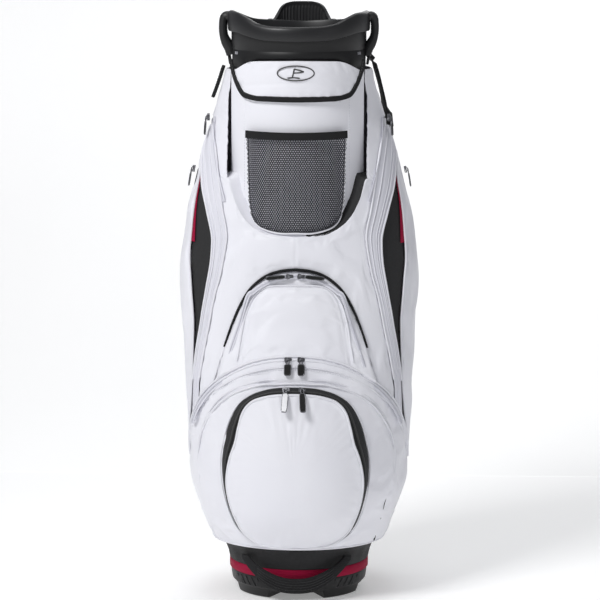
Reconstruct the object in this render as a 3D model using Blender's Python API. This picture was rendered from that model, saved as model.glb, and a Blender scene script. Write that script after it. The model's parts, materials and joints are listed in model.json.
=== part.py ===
"""A golf cart bag: liner and club dividers, moulded collar and boot, sewn pockets, zips and strap.

Metres, +Z up. The bag stands on its feet at z = 0 and its front faces -Y. Angles round the bag
are measured at the liner's axis, from the front towards +X.
"""

import math

import bpy
from mathutils import Matrix, Vector

AXIS_Y = 0.00655          # the liner's axis, behind the middle of the whole bag
GAP = 0.0003              # clearance between pieces that touch
SEAM = 0.0022             # clearance between soft panels that are sewn edge to edge

# Liner, dividers and base
LINER_RADIUS = 0.100
LINER_WALL = 0.002
LINER_TOP = 0.868
LINER_ANGLES = [10 * k for k in range(36)]
DIVIDER_ROW = 0.047
DIVIDER_WALL = 0.002
DIVIDER_TOP = 0.878
BOOT_RADIUS = 0.1085
BOOT_FLOOR = 0.022
BOOT_TOP = 0.0345
FOOT_HEIGHT = 0.0106
BAND_TOP = 0.0497
SKIRT_TOP = 0.084
HEM = 0.0875

# Collar and its handles
COLLAR_INNER = LINER_RADIUS + GAP
COLLAR_RADIUS = 0.1045
LIP_RADIUS = 0.1110
COWL_BASE = 0.8453

# Soft shell
PANEL_INNER = 0.102
BRIDGE_WALL = 0.002
BRIDGE_HALF_ANGLE = 64
SLOT_EDGE_X = 0.1125
WELL_BACK = 0.1395
POCKET_BACK_ANGLE = 151

WIDTH = [(0.085, 0.136), (0.13, 0.152), (0.19, 0.171), (0.28, 0.1755), (0.40, 0.181),
         (0.50, 0.187), (0.58, 0.1785), (0.69, 0.1545), (0.78, 0.1265), (0.84, 0.1115)]
FRONT = [(0.085, 0.128), (0.15, 0.152), (0.25, 0.163), (0.33, 0.162), (0.388, 0.146),
         (0.44, 0.131), (0.53, 0.121), (0.60, 0.116), (0.70, 0.112), (0.84, 0.109)]
BACK = [(0.085, 0.140), (0.15, 0.150), (0.50, 0.154), (0.75, 0.151), (0.84, 0.146)]
FULLNESS = [(0.085, 2.1), (0.25, 2.25), (0.35, 2.1), (0.45, 2.15), (0.60, 1.9), (0.75, 1.6),
            (0.84, 1.9)]

# Seams, as (height, angle in degrees) or (angle in degrees, height)
INNER_ZIP = [(0.34, 60.3), (0.44, 55.2), (0.48, 53), (0.52, 50.2), (0.567, 49.2),
             (0.618, 55), (0.666, 62.3), (0.707, 70.6), (0.7525, 88)]
GUSSET_FRONT = [(0.29, 69), (0.353, 66.6), (0.437, 61.5), (0.494, 58.4), (0.53, 57.4),
                (0.563, 58.4), (0.61, 65.6), (0.648, 74.7), (0.678, 81.8), (0.72, 93), (0.75, 98)]
GUSSET_BACK = [(0.085, 102), (0.18, 102), (0.225, 87), (0.262, 77), (0.30, 71), (0.353, 68),
               (0.4325, 67.6), (0.50, 70.3), (0.54, 74.1), (0.58, 76.3), (0.623, 78.7),
               (0.66, 80.5), (0.70, 90), (0.74, 100), (0.80, 101)]
LOWER_ARCH = [(0, 0.3960), (12, 0.3935), (24, 0.3860), (38, 0.3665), (48, 0.3465), (60, 0.3170),
              (70, 0.280), (78, 0.250), (86, 0.220), (100, 0.180)]
UPPER_ARCH = [(0, 0.528), (15, 0.523), (28, 0.505), (38, 0.475), (45, 0.440), (50, 0.400),
              (55, 0.345)]
BRIDGE_EDGE = [(0, 0.5725), (20, 0.576), (30, 0.584), (40, 0.602), (48, 0.630), (55, 0.660),
               (66, 0.660)]
COLLAR_EDGE = [(0, 0.8472), (35, 0.8455), (60, 0.8304), (180, 0.8304)]
LIP_TOP = [(0, 0.8967), (20, 0.8975), (33, 0.9008), (47, 0.9100), (63, 0.9170), (90, 0.9185),
           (110, 0.914), (140, 0.902), (180, 0.898)]
LIP_BASE = [(0, 0.8739), (23, 0.8751), (44, 0.8811), (60, 0.8860), (90, 0.8880), (120, 0.885),
            (180, 0.878)]
MESH_SPAN = [(0.5805, 15), (0.585, 24), (0.592, 31), (0.605, 35.5), (0.63, 38), (0.7255, 40)]
FLAP_SPAN = [(0.7825, 36), (0.786, 42), (0.795, 48.5), (0.81, 54), (0.83, 61), (0.846, 62)]

# Round zip tracks: centre, radius, how far the circle's top leans forward, and how far the cloth
# faces outward from the circle's axis
UPPER_TRACK = (Vector((0, -0.1268, 0.4160)), 0.1000, math.radians(0.2), math.radians(10))
LOWER_TRACK = (Vector((0, -0.0620, 0.2494)), 0.1680, math.radians(33), math.radians(48))
BALL_TRACK = (Vector((0, -0.1400, 0.2290)), 0.1215, math.radians(15.3), math.radians(50))

# Straight zip tracks on the right side: top end and foot
SIDE_TRACK = (Vector((0.1400, -0.0180, 0.7525)), Vector((0.1250, -0.0880, 0.6300)))
REAR_TRACK = (Vector((0.1660, 0.0200, 0.6680)), Vector((0.1900, 0.0200, 0.5200)))
CLOTH_SLOPE = 0.42        # how far the cloth beside them leans back, per unit outward

# Zip sliders and their pulls: along the zip, across it, out of the cloth; and pull width, length
SLIDER_SIZE = (0.0110, 0.0080, 0.0036)
PULL_PIVOT = SLIDER_SIZE[2] + 0.0004
SIDEWAYS_PULL = (0.009, 0.0355, 0.0022)
WIDE_PULL = (0.012, 0.0245, 0.0024)
BALL_PULL = (0.011, 0.0305, 0.0024)
SLIM_PULL = (0.008, 0.0275, 0.0022)


def clear_scene():
    for thing in list(bpy.data.objects):
        bpy.data.objects.remove(thing, do_unlink=True)


def finish_material(name, colour, roughness, metallic=0.0):
    material = bpy.data.materials.new(name)
    material.use_nodes = True
    shader = material.node_tree.nodes["Principled BSDF"]
    shader.inputs["Base Color"].default_value = (*colour, 1.0)
    shader.inputs["Roughness"].default_value = roughness
    shader.inputs["Metallic"].default_value = metallic
    return material


def smooth_value(points, t):
    """Reads a smooth curve, with no overshoot, through (t, value) points."""
    if t <= points[0][0]:
        return points[0][1]
    if t >= points[-1][0]:
        return points[-1][1]
    last = len(points) - 1
    k = max(i for i in range(last) if points[i][0] <= t)

    def rise(i):
        return (points[i + 1][1] - points[i][1]) / (points[i + 1][0] - points[i][0])

    def slope(i):
        if i in (0, last):
            return rise(min(i, last - 1))
        before, after = rise(i - 1), rise(i)
        return 2 * before * after / (before + after) if before * after > 0 else 0.0

    span = points[k + 1][0] - points[k][0]
    s = (t - points[k][0]) / span
    start = (1 + 2 * s) * (1 - s) ** 2 * points[k][1] + s * (1 - s) ** 2 * span * slope(k)
    end = s * s * (3 - 2 * s) * points[k + 1][1] - s * s * (1 - s) * span * slope(k + 1)
    return start + end


def hull_radius(angle, z):
    """The soft shell's outer radius: a superellipse at each height."""
    turn = math.radians(angle)
    at_front = math.cos(turn) > 0
    depth = smooth_value(FRONT if at_front else BACK, z)
    power = smooth_value(FULLNESS, z) if at_front else 2.3
    across = abs(math.sin(turn)) / smooth_value(WIDTH, z)
    along = abs(math.cos(turn)) / depth
    return (across ** power + along ** power) ** (-1 / power)


def hull_angle(x, z):
    """The angle, in front of the widest place, at which the shell is x wide."""
    low, high = 0.0, 90.0
    for _ in range(30):
        middle = (low + high) / 2
        if hull_radius(middle, z) * math.sin(math.radians(middle)) < x:
            low = middle
        else:
            high = middle
    return low


def bridge_radius(angle):
    """The outer face of the bridge panel, which stands further off the liner towards its sides."""
    return 0.1105 + 0.0045 * (angle / 66) ** 2


def polar(radius, angle, z):
    turn = math.radians(angle)
    return Vector((radius * math.sin(turn), -radius * math.cos(turn), z))


def new_object(name, points, faces, material, parent):
    mesh = bpy.data.meshes.new(name)
    mesh.from_pydata([tuple(point) for point in points], [], faces)
    mesh.validate()
    mesh.materials.append(material)
    mesh.shade_smooth()
    mesh.set_sharp_from_angle(angle=math.radians(35))
    thing = bpy.data.objects.new(name, mesh)
    bpy.context.scene.collection.objects.link(thing)
    thing.parent = parent
    return thing


def grid_solid(name, material, parent, columns, rows, inner, outer):
    """A closed slab between two surfaces; each takes u, across to +X, and v, upwards, from 0 to 1."""
    across = columns + 1
    sheet = across * (rows + 1)
    points = []
    for surface in (outer, inner):
        for j in range(rows + 1):
            points += [surface(i / columns, j / rows) for i in range(across)]
    faces = []
    for j in range(rows):
        for i in range(columns):
            corner = j * across + i
            front = (corner, corner + 1, corner + across + 1, corner + across)
            faces.append(front)
            faces.append(tuple(sheet + k for k in reversed(front)))
    rim = [i for i in range(across)]
    rim += [j * across + columns for j in range(1, rows + 1)]
    rim += [rows * across + i for i in range(columns - 1, -1, -1)]
    rim += [j * across for j in range(rows - 1, 0, -1)]
    for k, here in enumerate(rim):
        there = rim[(k + 1) % len(rim)]
        faces.append((there, here, sheet + here, sheet + there))
    return new_object(name, points, faces, material, parent)


def ring_solid(name, material, parent, angles, section):
    """A closed ring; section(angle) lists (radius, z) up the outer side and down the inner one."""
    rings = [[polar(radius, angle, z) for radius, z in section(angle)] for angle in angles]
    size = len(rings[0])
    points = [point for ring in rings for point in ring]
    faces = []
    for k in range(len(rings)):
        here, there = k * size, (k + 1) % len(rings) * size
        for j in range(size):
            up = (j + 1) % size
            faces.append((here + j, there + j, there + up, here + up))
    return new_object(name, points, faces, material, parent)


def cup_solid(name, material, parent, outlines):
    """A closed cup through equal outlines, from its underside up the outside and down to its floor."""
    size = len(outlines[0])
    points = [point for outline in outlines for point in outline]
    faces = [tuple(reversed(range(size)))]
    for k in range(len(outlines) - 1):
        for i in range(size):
            here, there = k * size + i, k * size + (i + 1) % size
            faces.append((here, there, there + size, here + size))
    faces.append(tuple(range((len(outlines) - 1) * size, len(outlines) * size)))
    return new_object(name, points, faces, material, parent)


def prism(name, material, parent, outline, low, high):
    """An upright prism on an anticlockwise outline of (x, y) points."""
    outlines = [[Vector((x, y, z)) for x, y in outline] for z in (low, high)]
    return cup_solid(name, material, parent, outlines)


def swept_bar(name, material, parent, path, facing, width, thickness, taper=0.0):
    """A flat bar along path; facing(k) is the outward direction of its broad side at point k.

    It gets thinner by taper from its first point to its last.
    """
    sections = []
    for k, point in enumerate(path):
        ahead = (path[min(k + 1, len(path) - 1)] - path[max(k - 1, 0)]).normalized()
        side = ahead.cross(facing(k)).normalized()
        out = side.cross(ahead).normalized()
        thick = thickness - taper * (k / (len(path) - 1)) ** 2
        half_side, half_out = side * width(k) / 2, out * thick / 2
        sections.append([point - half_side - half_out, point + half_side - half_out,
                         point + half_side + half_out, point - half_side + half_out])
    return cup_solid(name, material, parent, [list(reversed(s)) for s in sections])


def panel(name, material, parent, span, reach, inner, outer, columns=8, rows=8):
    """A sewn panel: span(z) and reach(angle) bound it, inner and outer give its radii."""
    def settle(u, v):
        left, right = span(sum(reach(0.0)) / 2)
        angle = left + (right - left) * u
        for _ in range(6):
            low, high = reach(angle)
            z = low + (high - low) * v
            left, right = span(z)
            angle = left + (right - left) * u
        return angle, z

    def surface(radius):
        def point(u, v):
            angle, z = settle(u, v)
            return polar(radius(angle, z), angle, z)
        return point

    return grid_solid(name, material, parent, columns, rows, surface(inner), surface(outer))


def mirrored(side, low, high):
    """An angle range on one side of the bag: side is 1 for the right and -1 for the left."""
    return (low, high) if side > 0 else (-high, -low)


def make_liner(finish, bag):
    inner = LINER_RADIUS - LINER_WALL
    low = BOOT_FLOOR + GAP
    section = [(LINER_RADIUS, low), (LINER_RADIUS, LINER_TOP), (inner, LINER_TOP), (inner, low)]
    ring_solid("inner_liner", finish["liner"], bag, LINER_ANGLES, lambda angle: section)


def comb_outline(wall_y, teeth, reach_back, reach_front, half):
    """A straight divider wall across the bag with cross walls in front of it and behind it."""
    t = DIVIDER_WALL / 2
    outline = [(-half, wall_y - t)]
    for x in teeth if reach_front else []:
        tip = wall_y - reach_front
        outline += [(x - t, wall_y - t), (x - t, tip), (x + t, tip), (x + t, wall_y - t)]
    outline += [(half, wall_y - t), (half, wall_y + t)]
    for x in reversed(teeth) if reach_back else []:
        tip = wall_y + reach_back
        outline += [(x + t, wall_y + t), (x + t, tip), (x - t, tip), (x - t, wall_y + t)]
    outline.append((-half, wall_y + t))
    return outline


def make_dividers(finish, bag):
    bore = LINER_RADIUS - LINER_WALL - GAP
    between = DIVIDER_ROW - DIVIDER_WALL / 2 - GAP
    side_half = math.sqrt(bore ** 2 - (DIVIDER_ROW + DIVIDER_WALL) ** 2)
    outer_tooth = DIVIDER_ROW * 0.47
    outer_reach = math.sqrt(bore ** 2 - (outer_tooth + DIVIDER_WALL) ** 2) - DIVIDER_ROW
    outer_teeth = [-outer_tooth, outer_tooth]
    middle_teeth = [-DIVIDER_ROW, 0, DIVIDER_ROW]
    combs = {
        "divider_front": comb_outline(-DIVIDER_ROW, outer_teeth, 0, outer_reach, side_half),
        "divider_middle": comb_outline(0, middle_teeth, between, between, bore - 0.0004),
        "divider_rear": comb_outline(DIVIDER_ROW, outer_teeth, outer_reach, 0, side_half),
    }
    for name, outline in combs.items():
        prism(name, finish["divider"], bag, outline, BOOT_FLOOR + GAP, DIVIDER_TOP)


def rounded_outline(half_width, front, back, round_over, z):
    """A round-cornered rectangle, anticlockwise seen from above."""
    points = []
    corners = [(1, front, -90), (1, back, 0), (-1, back, 90), (-1, front, 180)]
    for side, edge, start in corners:
        centre_x = side * (half_width - round_over)
        centre_y = edge + round_over if edge == front else edge - round_over
        for step in range(4):
            turn = math.radians(start + 30 * step)
            points.append(Vector((centre_x + round_over * math.cos(turn),
                                  centre_y + round_over * math.sin(turn), z)))
    return points


def make_putter_well(finish, bag):
    low, high, wall = 0.098, COWL_BASE - GAP, 0.0022
    front = LIP_RADIUS + 0.0015
    inside = (0.041 - wall, front + wall, WELL_BACK - wall, 0.009)
    cup_solid("putter_well", finish["liner"], bag, [
        rounded_outline(0.041, front, WELL_BACK, 0.011, low),
        rounded_outline(0.041, front, WELL_BACK, 0.011, high),
        rounded_outline(*inside, high),
        rounded_outline(*inside, low + wall),
    ])


def make_stay_rods(finish, bag):
    for side, label in ((-1, "left"), (1, "right")):
        centre = polar(0.1057, side * 157, 0)
        outline = [(centre.x + 0.0035 * math.cos(math.radians(45 * k)),
                    centre.y + 0.0035 * math.sin(math.radians(45 * k))) for k in range(8)]
        prism(f"stay_rod_{label}", finish["steel"], bag, outline, 0.0855, 0.8295)


def foot_angles():
    """Stations round the boot, with a close pair where each foot starts and ends."""
    stations = [k * 12 for k in range(30)]
    for edge in (25, 68, 112, 155, 205, 248, 292, 335):
        stations = [a for a in stations if abs(a - edge) > 3] + [edge - 0.4, edge + 0.4]
    return sorted(stations)


def make_boot(finish, bag):
    def underside(angle):
        folded = min(angle, 360 - angle)
        return 0.0 if 25 < folded < 68 or 112 < folded < 155 else FOOT_HEIGHT

    angles = foot_angles()

    def ring(radius, height):
        return [polar(radius, a, height if height is not None else underside(a)) for a in angles]

    def lower_ring(radius, height):
        return [polar(radius, a, max(height, underside(a) + 0.0005)) for a in angles]

    cup_solid("base_boot", finish["plastic"], bag, [
        ring(0.050, FOOT_HEIGHT),
        ring(0.0505, None),
        ring(0.097, None),
        lower_ring(0.1015, 0.006),
        ring(0.1035, 0.0145),
        ring(0.1065, 0.0165),
        ring(BOOT_RADIUS, BOOT_TOP),
        ring(LINER_RADIUS + 0.0015, BOOT_TOP),
        ring(LINER_RADIUS + 0.0015, BOOT_FLOOR),
    ])


def make_base_trim(finish, bag):
    angles = [12 * k for k in range(30)]
    inner = LINER_RADIUS + 0.0015
    low = BOOT_TOP + GAP
    band = [(0.1098, low), (0.1103, BAND_TOP), (inner, BAND_TOP), (inner, low)]
    ring_solid("base_red_band", finish["red"], bag, angles, lambda angle: band)
    skirt_low = BAND_TOP + GAP
    skirt = [(0.1104, skirt_low), (0.1135, 0.064), (0.1240, SKIRT_TOP), (inner, SKIRT_TOP),
             (inner, skirt_low)]
    ring_solid("base_skirt", finish["black_fabric"], bag, angles, lambda angle: skirt)


def make_grab_handle(finish, bag):
    """A moulded strap handle that hangs from the skirt in front of the boot."""
    half = [Vector((0.0790, -0.0930, 0.0655)), Vector((0.0680, -0.1045, 0.0545)),
            Vector((0.0510, -0.1155, 0.0420)), Vector((0.0300, -0.1210, 0.0315)),
            Vector((0.0120, -0.1230, 0.0275))]
    path = [Vector((-p.x, p.y, p.z)) for p in half] + list(reversed(half))
    swept_bar("base_grab_handle", finish["plastic"], bag, path,
              lambda k: Vector((path[k].x, path[k].y, 0)).normalized(),
              lambda k: 0.017 + 0.007 * min(k, len(path) - 1 - k) / 4, 0.005)


def make_collar(finish, bag):
    def section(angle):
        folded = min(angle, 360 - angle)
        low = smooth_value(COLLAR_EDGE, folded)
        base = smooth_value(LIP_BASE, folded)
        top = smooth_value(LIP_TOP, folded)
        return [(COLLAR_RADIUS, low), (COLLAR_RADIUS, base - 0.002), (LIP_RADIUS - 0.001, base),
                (LIP_RADIUS, base + 0.003), (LIP_RADIUS, top - 0.004), (LIP_RADIUS - 0.003, top),
                (COLLAR_INNER + 0.001, top), (COLLAR_INNER, top - 0.003), (COLLAR_INNER, low)]

    ring_solid("top_collar", finish["plastic"], bag, LINER_ANGLES, section)


def make_side_handles(finish, bag):
    path = [(LIP_RADIUS + 0.0050, 0.9120), (0.1178, 0.9098), (0.1188, 0.9040), (0.1190, 0.8920),
            (0.1185, 0.8800), (0.1163, 0.8670), (0.1128, 0.8560), (0.1098, 0.8460)]
    for side, label in ((-1, "left"), (1, "right")):
        points = [Vector((side * x, 0, z)) for x, z in path]
        centre = Vector((side * 0.100, 0, 0.875))
        swept_bar(f"side_handle_{label}", finish["plastic"], bag, points,
                  lambda k: points[k] - centre,
                  lambda k: 0.030 - 0.006 * math.sin(math.pi * k / 7), 0.0125, taper=0.0055)


def make_rear_cowl(finish, bag):
    half = [(0.0580, 0.0990, 0.8890), (0.0520, 0.1070, 0.8985), (0.0460, 0.1160, 0.9000),
            (0.0420, 0.1240, 0.9030), (0.0365, 0.1320, 0.9090), (0.0330, 0.1350, 0.9165),
            (0.0285, 0.1375, 0.9220), (0.0170, 0.1405, 0.9265), (0, 0.1422, 0.9278)]
    outline = [(-x, y, z) for x, y, z in half] + list(reversed(half[:-1]))
    last = len(outline) - 1

    def place(offset):
        def point(u, v):
            k = round(u * last)
            x, y, height = outline[k]
            before, after = outline[max(k - 1, 0)], outline[min(k + 1, last)]
            along = Vector((after[0] - before[0], after[1] - before[1], 0)).normalized()
            outward = Vector((-along.y, along.x, 0))
            return Vector((x, y, COWL_BASE + (height - COWL_BASE) * v)) + outward * offset
        return point

    grid_solid("rear_cowl", finish["plastic"], bag, last, 4, place(0.0028), place(0))


def make_top_front(finish, bag):
    def under_collar(angle):
        return smooth_value(COLLAR_EDGE, abs(angle)) - 0.0016

    panel("bridge_panel", finish["white_fabric"], bag,
          lambda z: (-BRIDGE_HALF_ANGLE, BRIDGE_HALF_ANGLE),
          lambda angle: (smooth_value(BRIDGE_EDGE, abs(angle)) + 0.007, under_collar(angle)),
          lambda angle, z: bridge_radius(angle) - BRIDGE_WALL,
          lambda angle, z: bridge_radius(angle), columns=14, rows=4)
    panel("cover_flap", finish["white_fabric"], bag,
          lambda z: (-smooth_value(FLAP_SPAN, z), smooth_value(FLAP_SPAN, z)),
          lambda angle: (FLAP_SPAN[0][0], under_collar(angle)),
          lambda angle, z: bridge_radius(angle) + 0.0018,
          lambda angle, z: bridge_radius(angle) + 0.0044, columns=12, rows=6)


def make_mesh_pocket(finish, bag):
    top = MESH_SPAN[-1][0]
    floor = MESH_SPAN[0][0]

    def span(z):
        return -smooth_value(MESH_SPAN, z), smooth_value(MESH_SPAN, z)

    pouch = panel("mesh_pocket", finish["mesh"], bag, span, lambda angle: (floor, top),
                  lambda angle, z: bridge_radius(angle) + 0.0014,
                  lambda angle, z: bridge_radius(angle) + 0.0085, columns=10, rows=8)
    cutter = panel("mesh_pocket_cavity", finish["mesh"], bag,
                   lambda z: (span(z - 0.003)[0] + 2, span(z - 0.003)[1] - 2),
                   lambda angle: (floor + 0.003, top + 0.01),
                   lambda angle, z: bridge_radius(angle) - 0.004,
                   lambda angle, z: bridge_radius(angle) + 0.0070, columns=10, rows=8)
    cutter.hide_render = True
    cutter.display_type = "WIRE"
    hollow = pouch.modifiers.new("cavity", "BOOLEAN")
    hollow.operation = "DIFFERENCE"
    hollow.object = cutter
    panel("mesh_elastic_band", finish["black_fabric"], bag,
          lambda z: (-40, 40), lambda angle: (top + 0.0006, top + 0.0122),
          lambda angle, z: bridge_radius(angle) + 0.0068,
          lambda angle, z: bridge_radius(angle) + 0.0088, columns=8, rows=1)


def lower_arch(angle):
    return smooth_value(LOWER_ARCH, abs(angle))


def make_front_pockets(finish, bag):
    """The chest, the arched upper pocket and the big lower pocket, edge to edge."""
    def chest_span(z):
        edge = smooth_value(INNER_ZIP, z) - 1
        return -edge, edge

    def chest_reach(angle):
        low = max(smooth_value(UPPER_ARCH, abs(angle)), lower_arch(angle)) + SEAM
        return low, smooth_value(BRIDGE_EDGE, abs(angle))

    def upper_swell(angle, z):
        rise = max(0.0, min(1.0, (0.528 - z) / 0.10))
        return 0.008 * math.sin(math.pi * rise / 2)

    panel("chest_panel", finish["white_fabric"], bag, chest_span, chest_reach,
          lambda angle, z: PANEL_INNER, hull_radius, columns=20, rows=5)
    panel("upper_pocket", finish["white_fabric"], bag,
          lambda z: (-47.5, 47.5),
          lambda angle: (lower_arch(angle) + 0.009,
                         smooth_value(UPPER_ARCH, abs(angle) + 1.5) - SEAM),
          lambda angle, z: PANEL_INNER,
          lambda angle, z: hull_radius(angle, z) + upper_swell(angle, z), columns=12, rows=6)
    panel("lower_pocket", finish["white_fabric"], bag,
          lambda z: (-100, 100), lambda angle: (HEM, lower_arch(angle) - SEAM / 2),
          lambda angle, z: PANEL_INNER, hull_radius, columns=20, rows=7)


def make_ball_pocket(finish, bag):
    """The egg-shaped ball pocket that stands proud of the lower pocket."""
    middle, half_height, half_width = 0.2175, 0.1285, 0.114

    def place(outside):
        def point(u, v):
            turn = math.pi * (0.06 + 0.88 * v)
            z = middle - half_height * math.cos(turn)
            wide = half_width * math.sin(turn) ** 0.8
            across = 2 * u - 1
            angle = math.copysign(hull_angle(abs(across) * wide, z), across)
            swell = 0.006 + 0.022 * (1 - across ** 4) * math.sin(math.pi * v) ** 0.7
            radius = hull_radius(angle, z) + 0.0018 + (swell if outside else 0.0)
            return polar(radius, angle, z)
        return point

    grid_solid("ball_pocket", finish["white_fabric"], bag, 12, 8, place(False), place(True))


def make_side_pockets(finish, bag):
    def inner_zip(z):
        return smooth_value(INNER_ZIP, z)

    def gusset_front(z):
        return smooth_value(GUSSET_FRONT, z)

    def gusset_back(z):
        return smooth_value(GUSSET_BACK, z)

    def behind_front(angle, z):
        return max(PANEL_INNER, hull_radius(angle, z) - 0.018)

    def arch_up_to(top):
        return lambda angle: (lower_arch(angle) + 0.004, top)

    white, black = finish["white_fabric"], finish["black_fabric"]
    for side, label in ((-1, "left"), (1, "right")):
        panel(f"shoulder_panel_{label}", white, bag,
              lambda z: mirrored(side, hull_angle(SLOT_EDGE_X, z) if z < 0.82 else 80,
                                 min(inner_zip(z) - 1 if z < 0.7525 else 96, 96)),
              lambda angle: (0.667, 0.8288),
              lambda angle, z: hull_radius(angle, z) - 0.004, hull_radius, columns=4, rows=9)
        panel(f"side_pocket_{label}", white, bag,
              lambda z: mirrored(side, inner_zip(z) + 0.4, gusset_front(z) - 0.6),
              arch_up_to(0.735), behind_front, hull_radius, columns=4, rows=14)
        panel(f"side_gusset_{label}", black, bag,
              lambda z: mirrored(side, gusset_front(z) + 0.6, gusset_back(z) - 1.4),
              lambda angle: (0.385, 0.655), lambda angle, z: PANEL_INNER,
              lambda angle, z: hull_radius(angle, z) - 0.003, columns=3, rows=10)
        panel(f"rear_pocket_{label}", white, bag,
              lambda z: mirrored(side, gusset_back(z) + 0.6, POCKET_BACK_ANGLE),
              lambda angle: (HEM, 0.8288),
              lambda angle, z: PANEL_INNER + 0.0055, hull_radius, columns=7, rows=15)


def make_spine_pad(finish, bag):
    def outer(u, v):
        z = 0.092 + (0.829 - 0.092) * v
        edge = hull_radius(POCKET_BACK_ANGLE, z) * math.sin(math.radians(POCKET_BACK_ANGLE))
        x = (edge - 0.004) * (1 - 2 * u)
        share = min(1.0, abs(x) / smooth_value(WIDTH, z))
        return Vector((x, smooth_value(BACK, z) * (1 - share ** 2.3) ** (1 / 2.3), z))

    def inner(u, v):
        point = outer(u, v)
        over_well = abs(point.x) < 0.046
        point.y = WELL_BACK + 0.0007 if over_well else point.y - 0.0040
        return point

    grid_solid("spine_pad", finish["black_fabric"], bag, 8, 8, inner, outer)


def make_strap(finish, bag):
    """The shoulder strap, from the right side handle round the back to the foot of the spine."""
    route = [(0.1172, 0.030, 0.8360), (0.1255, 0.036, 0.8050), (0.1325, 0.050, 0.7720),
             (0.1365, 0.074, 0.7330), (0.1370, 0.102, 0.6880), (0.1300, 0.123, 0.6380),
             (0.1190, 0.139, 0.5850), (0.1090, 0.1515, 0.5200), (0.0960, 0.1610, 0.4500),
             (0.0860, 0.1650, 0.3800), (0.0780, 0.1650, 0.3200), (0.0715, 0.1620, 0.2700),
             (0.0670, 0.1570, 0.2350)]
    points = [Vector(p) for p in route]

    def run(name, material, first, last, width, thickness):
        stretch = points[first:last + 1]
        ends = (stretch[1] - stretch[0]).normalized() * 0.0006
        stretch[0] = stretch[0] + ends
        stretch[-1] = stretch[-1] - (stretch[-1] - stretch[-2]).normalized() * 0.0006
        middle = (last - first) / 2
        swept_bar(name, material, bag, stretch,
                  lambda k: Vector((stretch[k].x, stretch[k].y, 0)),
                  lambda k: width * (1 - 0.3 * (abs(k - middle) / middle) ** 4), thickness)

    run("strap_upper_webbing", finish["black_fabric"], 0, 4, 0.030, 0.003)
    run("strap_shoulder_pad", finish["black_fabric"], 4, 9, 0.062, 0.014)
    run("strap_lower_webbing", finish["black_fabric"], 9, 12, 0.030, 0.003)
    top = [Vector((0.1050, 0.0310, 0.8510)), points[0] + Vector((-0.0010, 0, 0.0040))]
    swept_bar("strap_top_anchor", finish["plastic"], bag, top,
              lambda k: Vector((1, 0.1, 0)), lambda k: 0.026, 0.005)
    foot = [points[-1] + Vector((0, 0, -0.0010)), points[-1] + Vector((-0.0010, 0, -0.0200))]
    swept_bar("strap_foot_anchor", finish["plastic"], bag, foot,
              lambda k: Vector((0.4, 0.9, 0)), lambda k: 0.032, 0.005)


def make_glove_tab(finish, bag):
    path = [Vector((-0.1185, 0, 0.8300)), Vector((-0.1265, 0, 0.8060)), Vector((-0.1345, 0, 0.7840))]
    swept_bar("glove_tab", finish["black_fabric"], bag, path,
              lambda k: Vector((-1, 0, -0.3)), lambda k: 0.024, 0.006)


def track_frame(track, turn):
    """Where a slider stands on a round track: position, direction along it and outward normal."""
    centre, radius, lean, facing = track
    across = Vector((1, 0, 0))
    up = Vector((0, -math.sin(lean), math.cos(lean)))
    forward = across.cross(up)
    spoke = across * math.sin(turn) + up * math.cos(turn)
    along = across * math.cos(turn) - up * math.sin(turn)
    outward = forward * math.cos(facing) + spoke * math.sin(facing)
    return centre + spoke * radius, along, outward


def box_about(size, middle):
    """Corner points and faces of a box, as the pieces of a slider are."""
    half = Vector(size) / 2
    points = [Vector(middle) + Vector((sx * half.x, sy * half.y, sz * half.z))
              for sz in (-1, 1) for sx, sy in ((-1, -1), (1, -1), (1, 1), (-1, 1))]
    faces = [(3, 2, 1, 0), (4, 5, 6, 7)]
    faces += [(k, (k + 1) % 4, (k + 1) % 4 + 4, k + 4) for k in range(4)]
    return points, faces


def basis(origin, along, outward):
    """A placement whose X runs along the zip and whose Z points out of the cloth."""
    z_axis = (outward - along * outward.dot(along)).normalized()
    y_axis = z_axis.cross(along)
    matrix = Matrix((along, y_axis, z_axis)).transposed().to_4x4()
    matrix.translation = origin
    return matrix


def make_slider(name, finish, parent, bag, spot, pull_way, pull_size, metal):
    """A zip slider, and the pull that hangs from its bridge and turns on it."""
    position, along, outward = spot
    place = basis(position, along, outward)
    points, faces = box_about(SLIDER_SIZE, (0, 0, SLIDER_SIZE[2] / 2))
    slider = new_object(name, points, faces, finish["steel"], None)
    slider.data.transform((parent.matrix_world.inverted() @ bag.matrix_world @ place))
    slider.parent = parent
    width, length, thickness = pull_size
    normal = place.to_3x3().col[2]
    way = (pull_way - normal * pull_way.dot(normal)).normalized()
    hinge = basis(position + normal * PULL_PIVOT, way.cross(normal), normal)
    points, faces = box_about((width, length, thickness), (0, 0, 0))
    shift = Vector((0, length / 2 + GAP, thickness / 2 + GAP))
    local_way = hinge.to_3x3().inverted() @ way
    shift.y *= math.copysign(1, local_way.y)
    pull = new_object(name + "_pull", [p + shift for p in points], faces, finish[metal], slider)
    pull.matrix_local = parent.matrix_world.inverted() @ bag.matrix_world @ hinge


def axis_empty(name, bag, position):
    empty = bpy.data.objects.new(name, None)
    bpy.context.scene.collection.objects.link(empty)
    empty.parent = bag
    empty.location = position
    bpy.context.view_layer.update()
    return empty


def straight_spot(track, side):
    """A slider at the top of a straight zip, with its run down the bag along +X of its frame."""
    top, foot = (Vector((side * end.x, end.y, end.z)) for end in track)
    outward = Vector((top.x, top.y, 0)).normalized() + Vector((0, 0, CLOTH_SLOPE))
    return top, (foot - top).normalized(), outward


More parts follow.
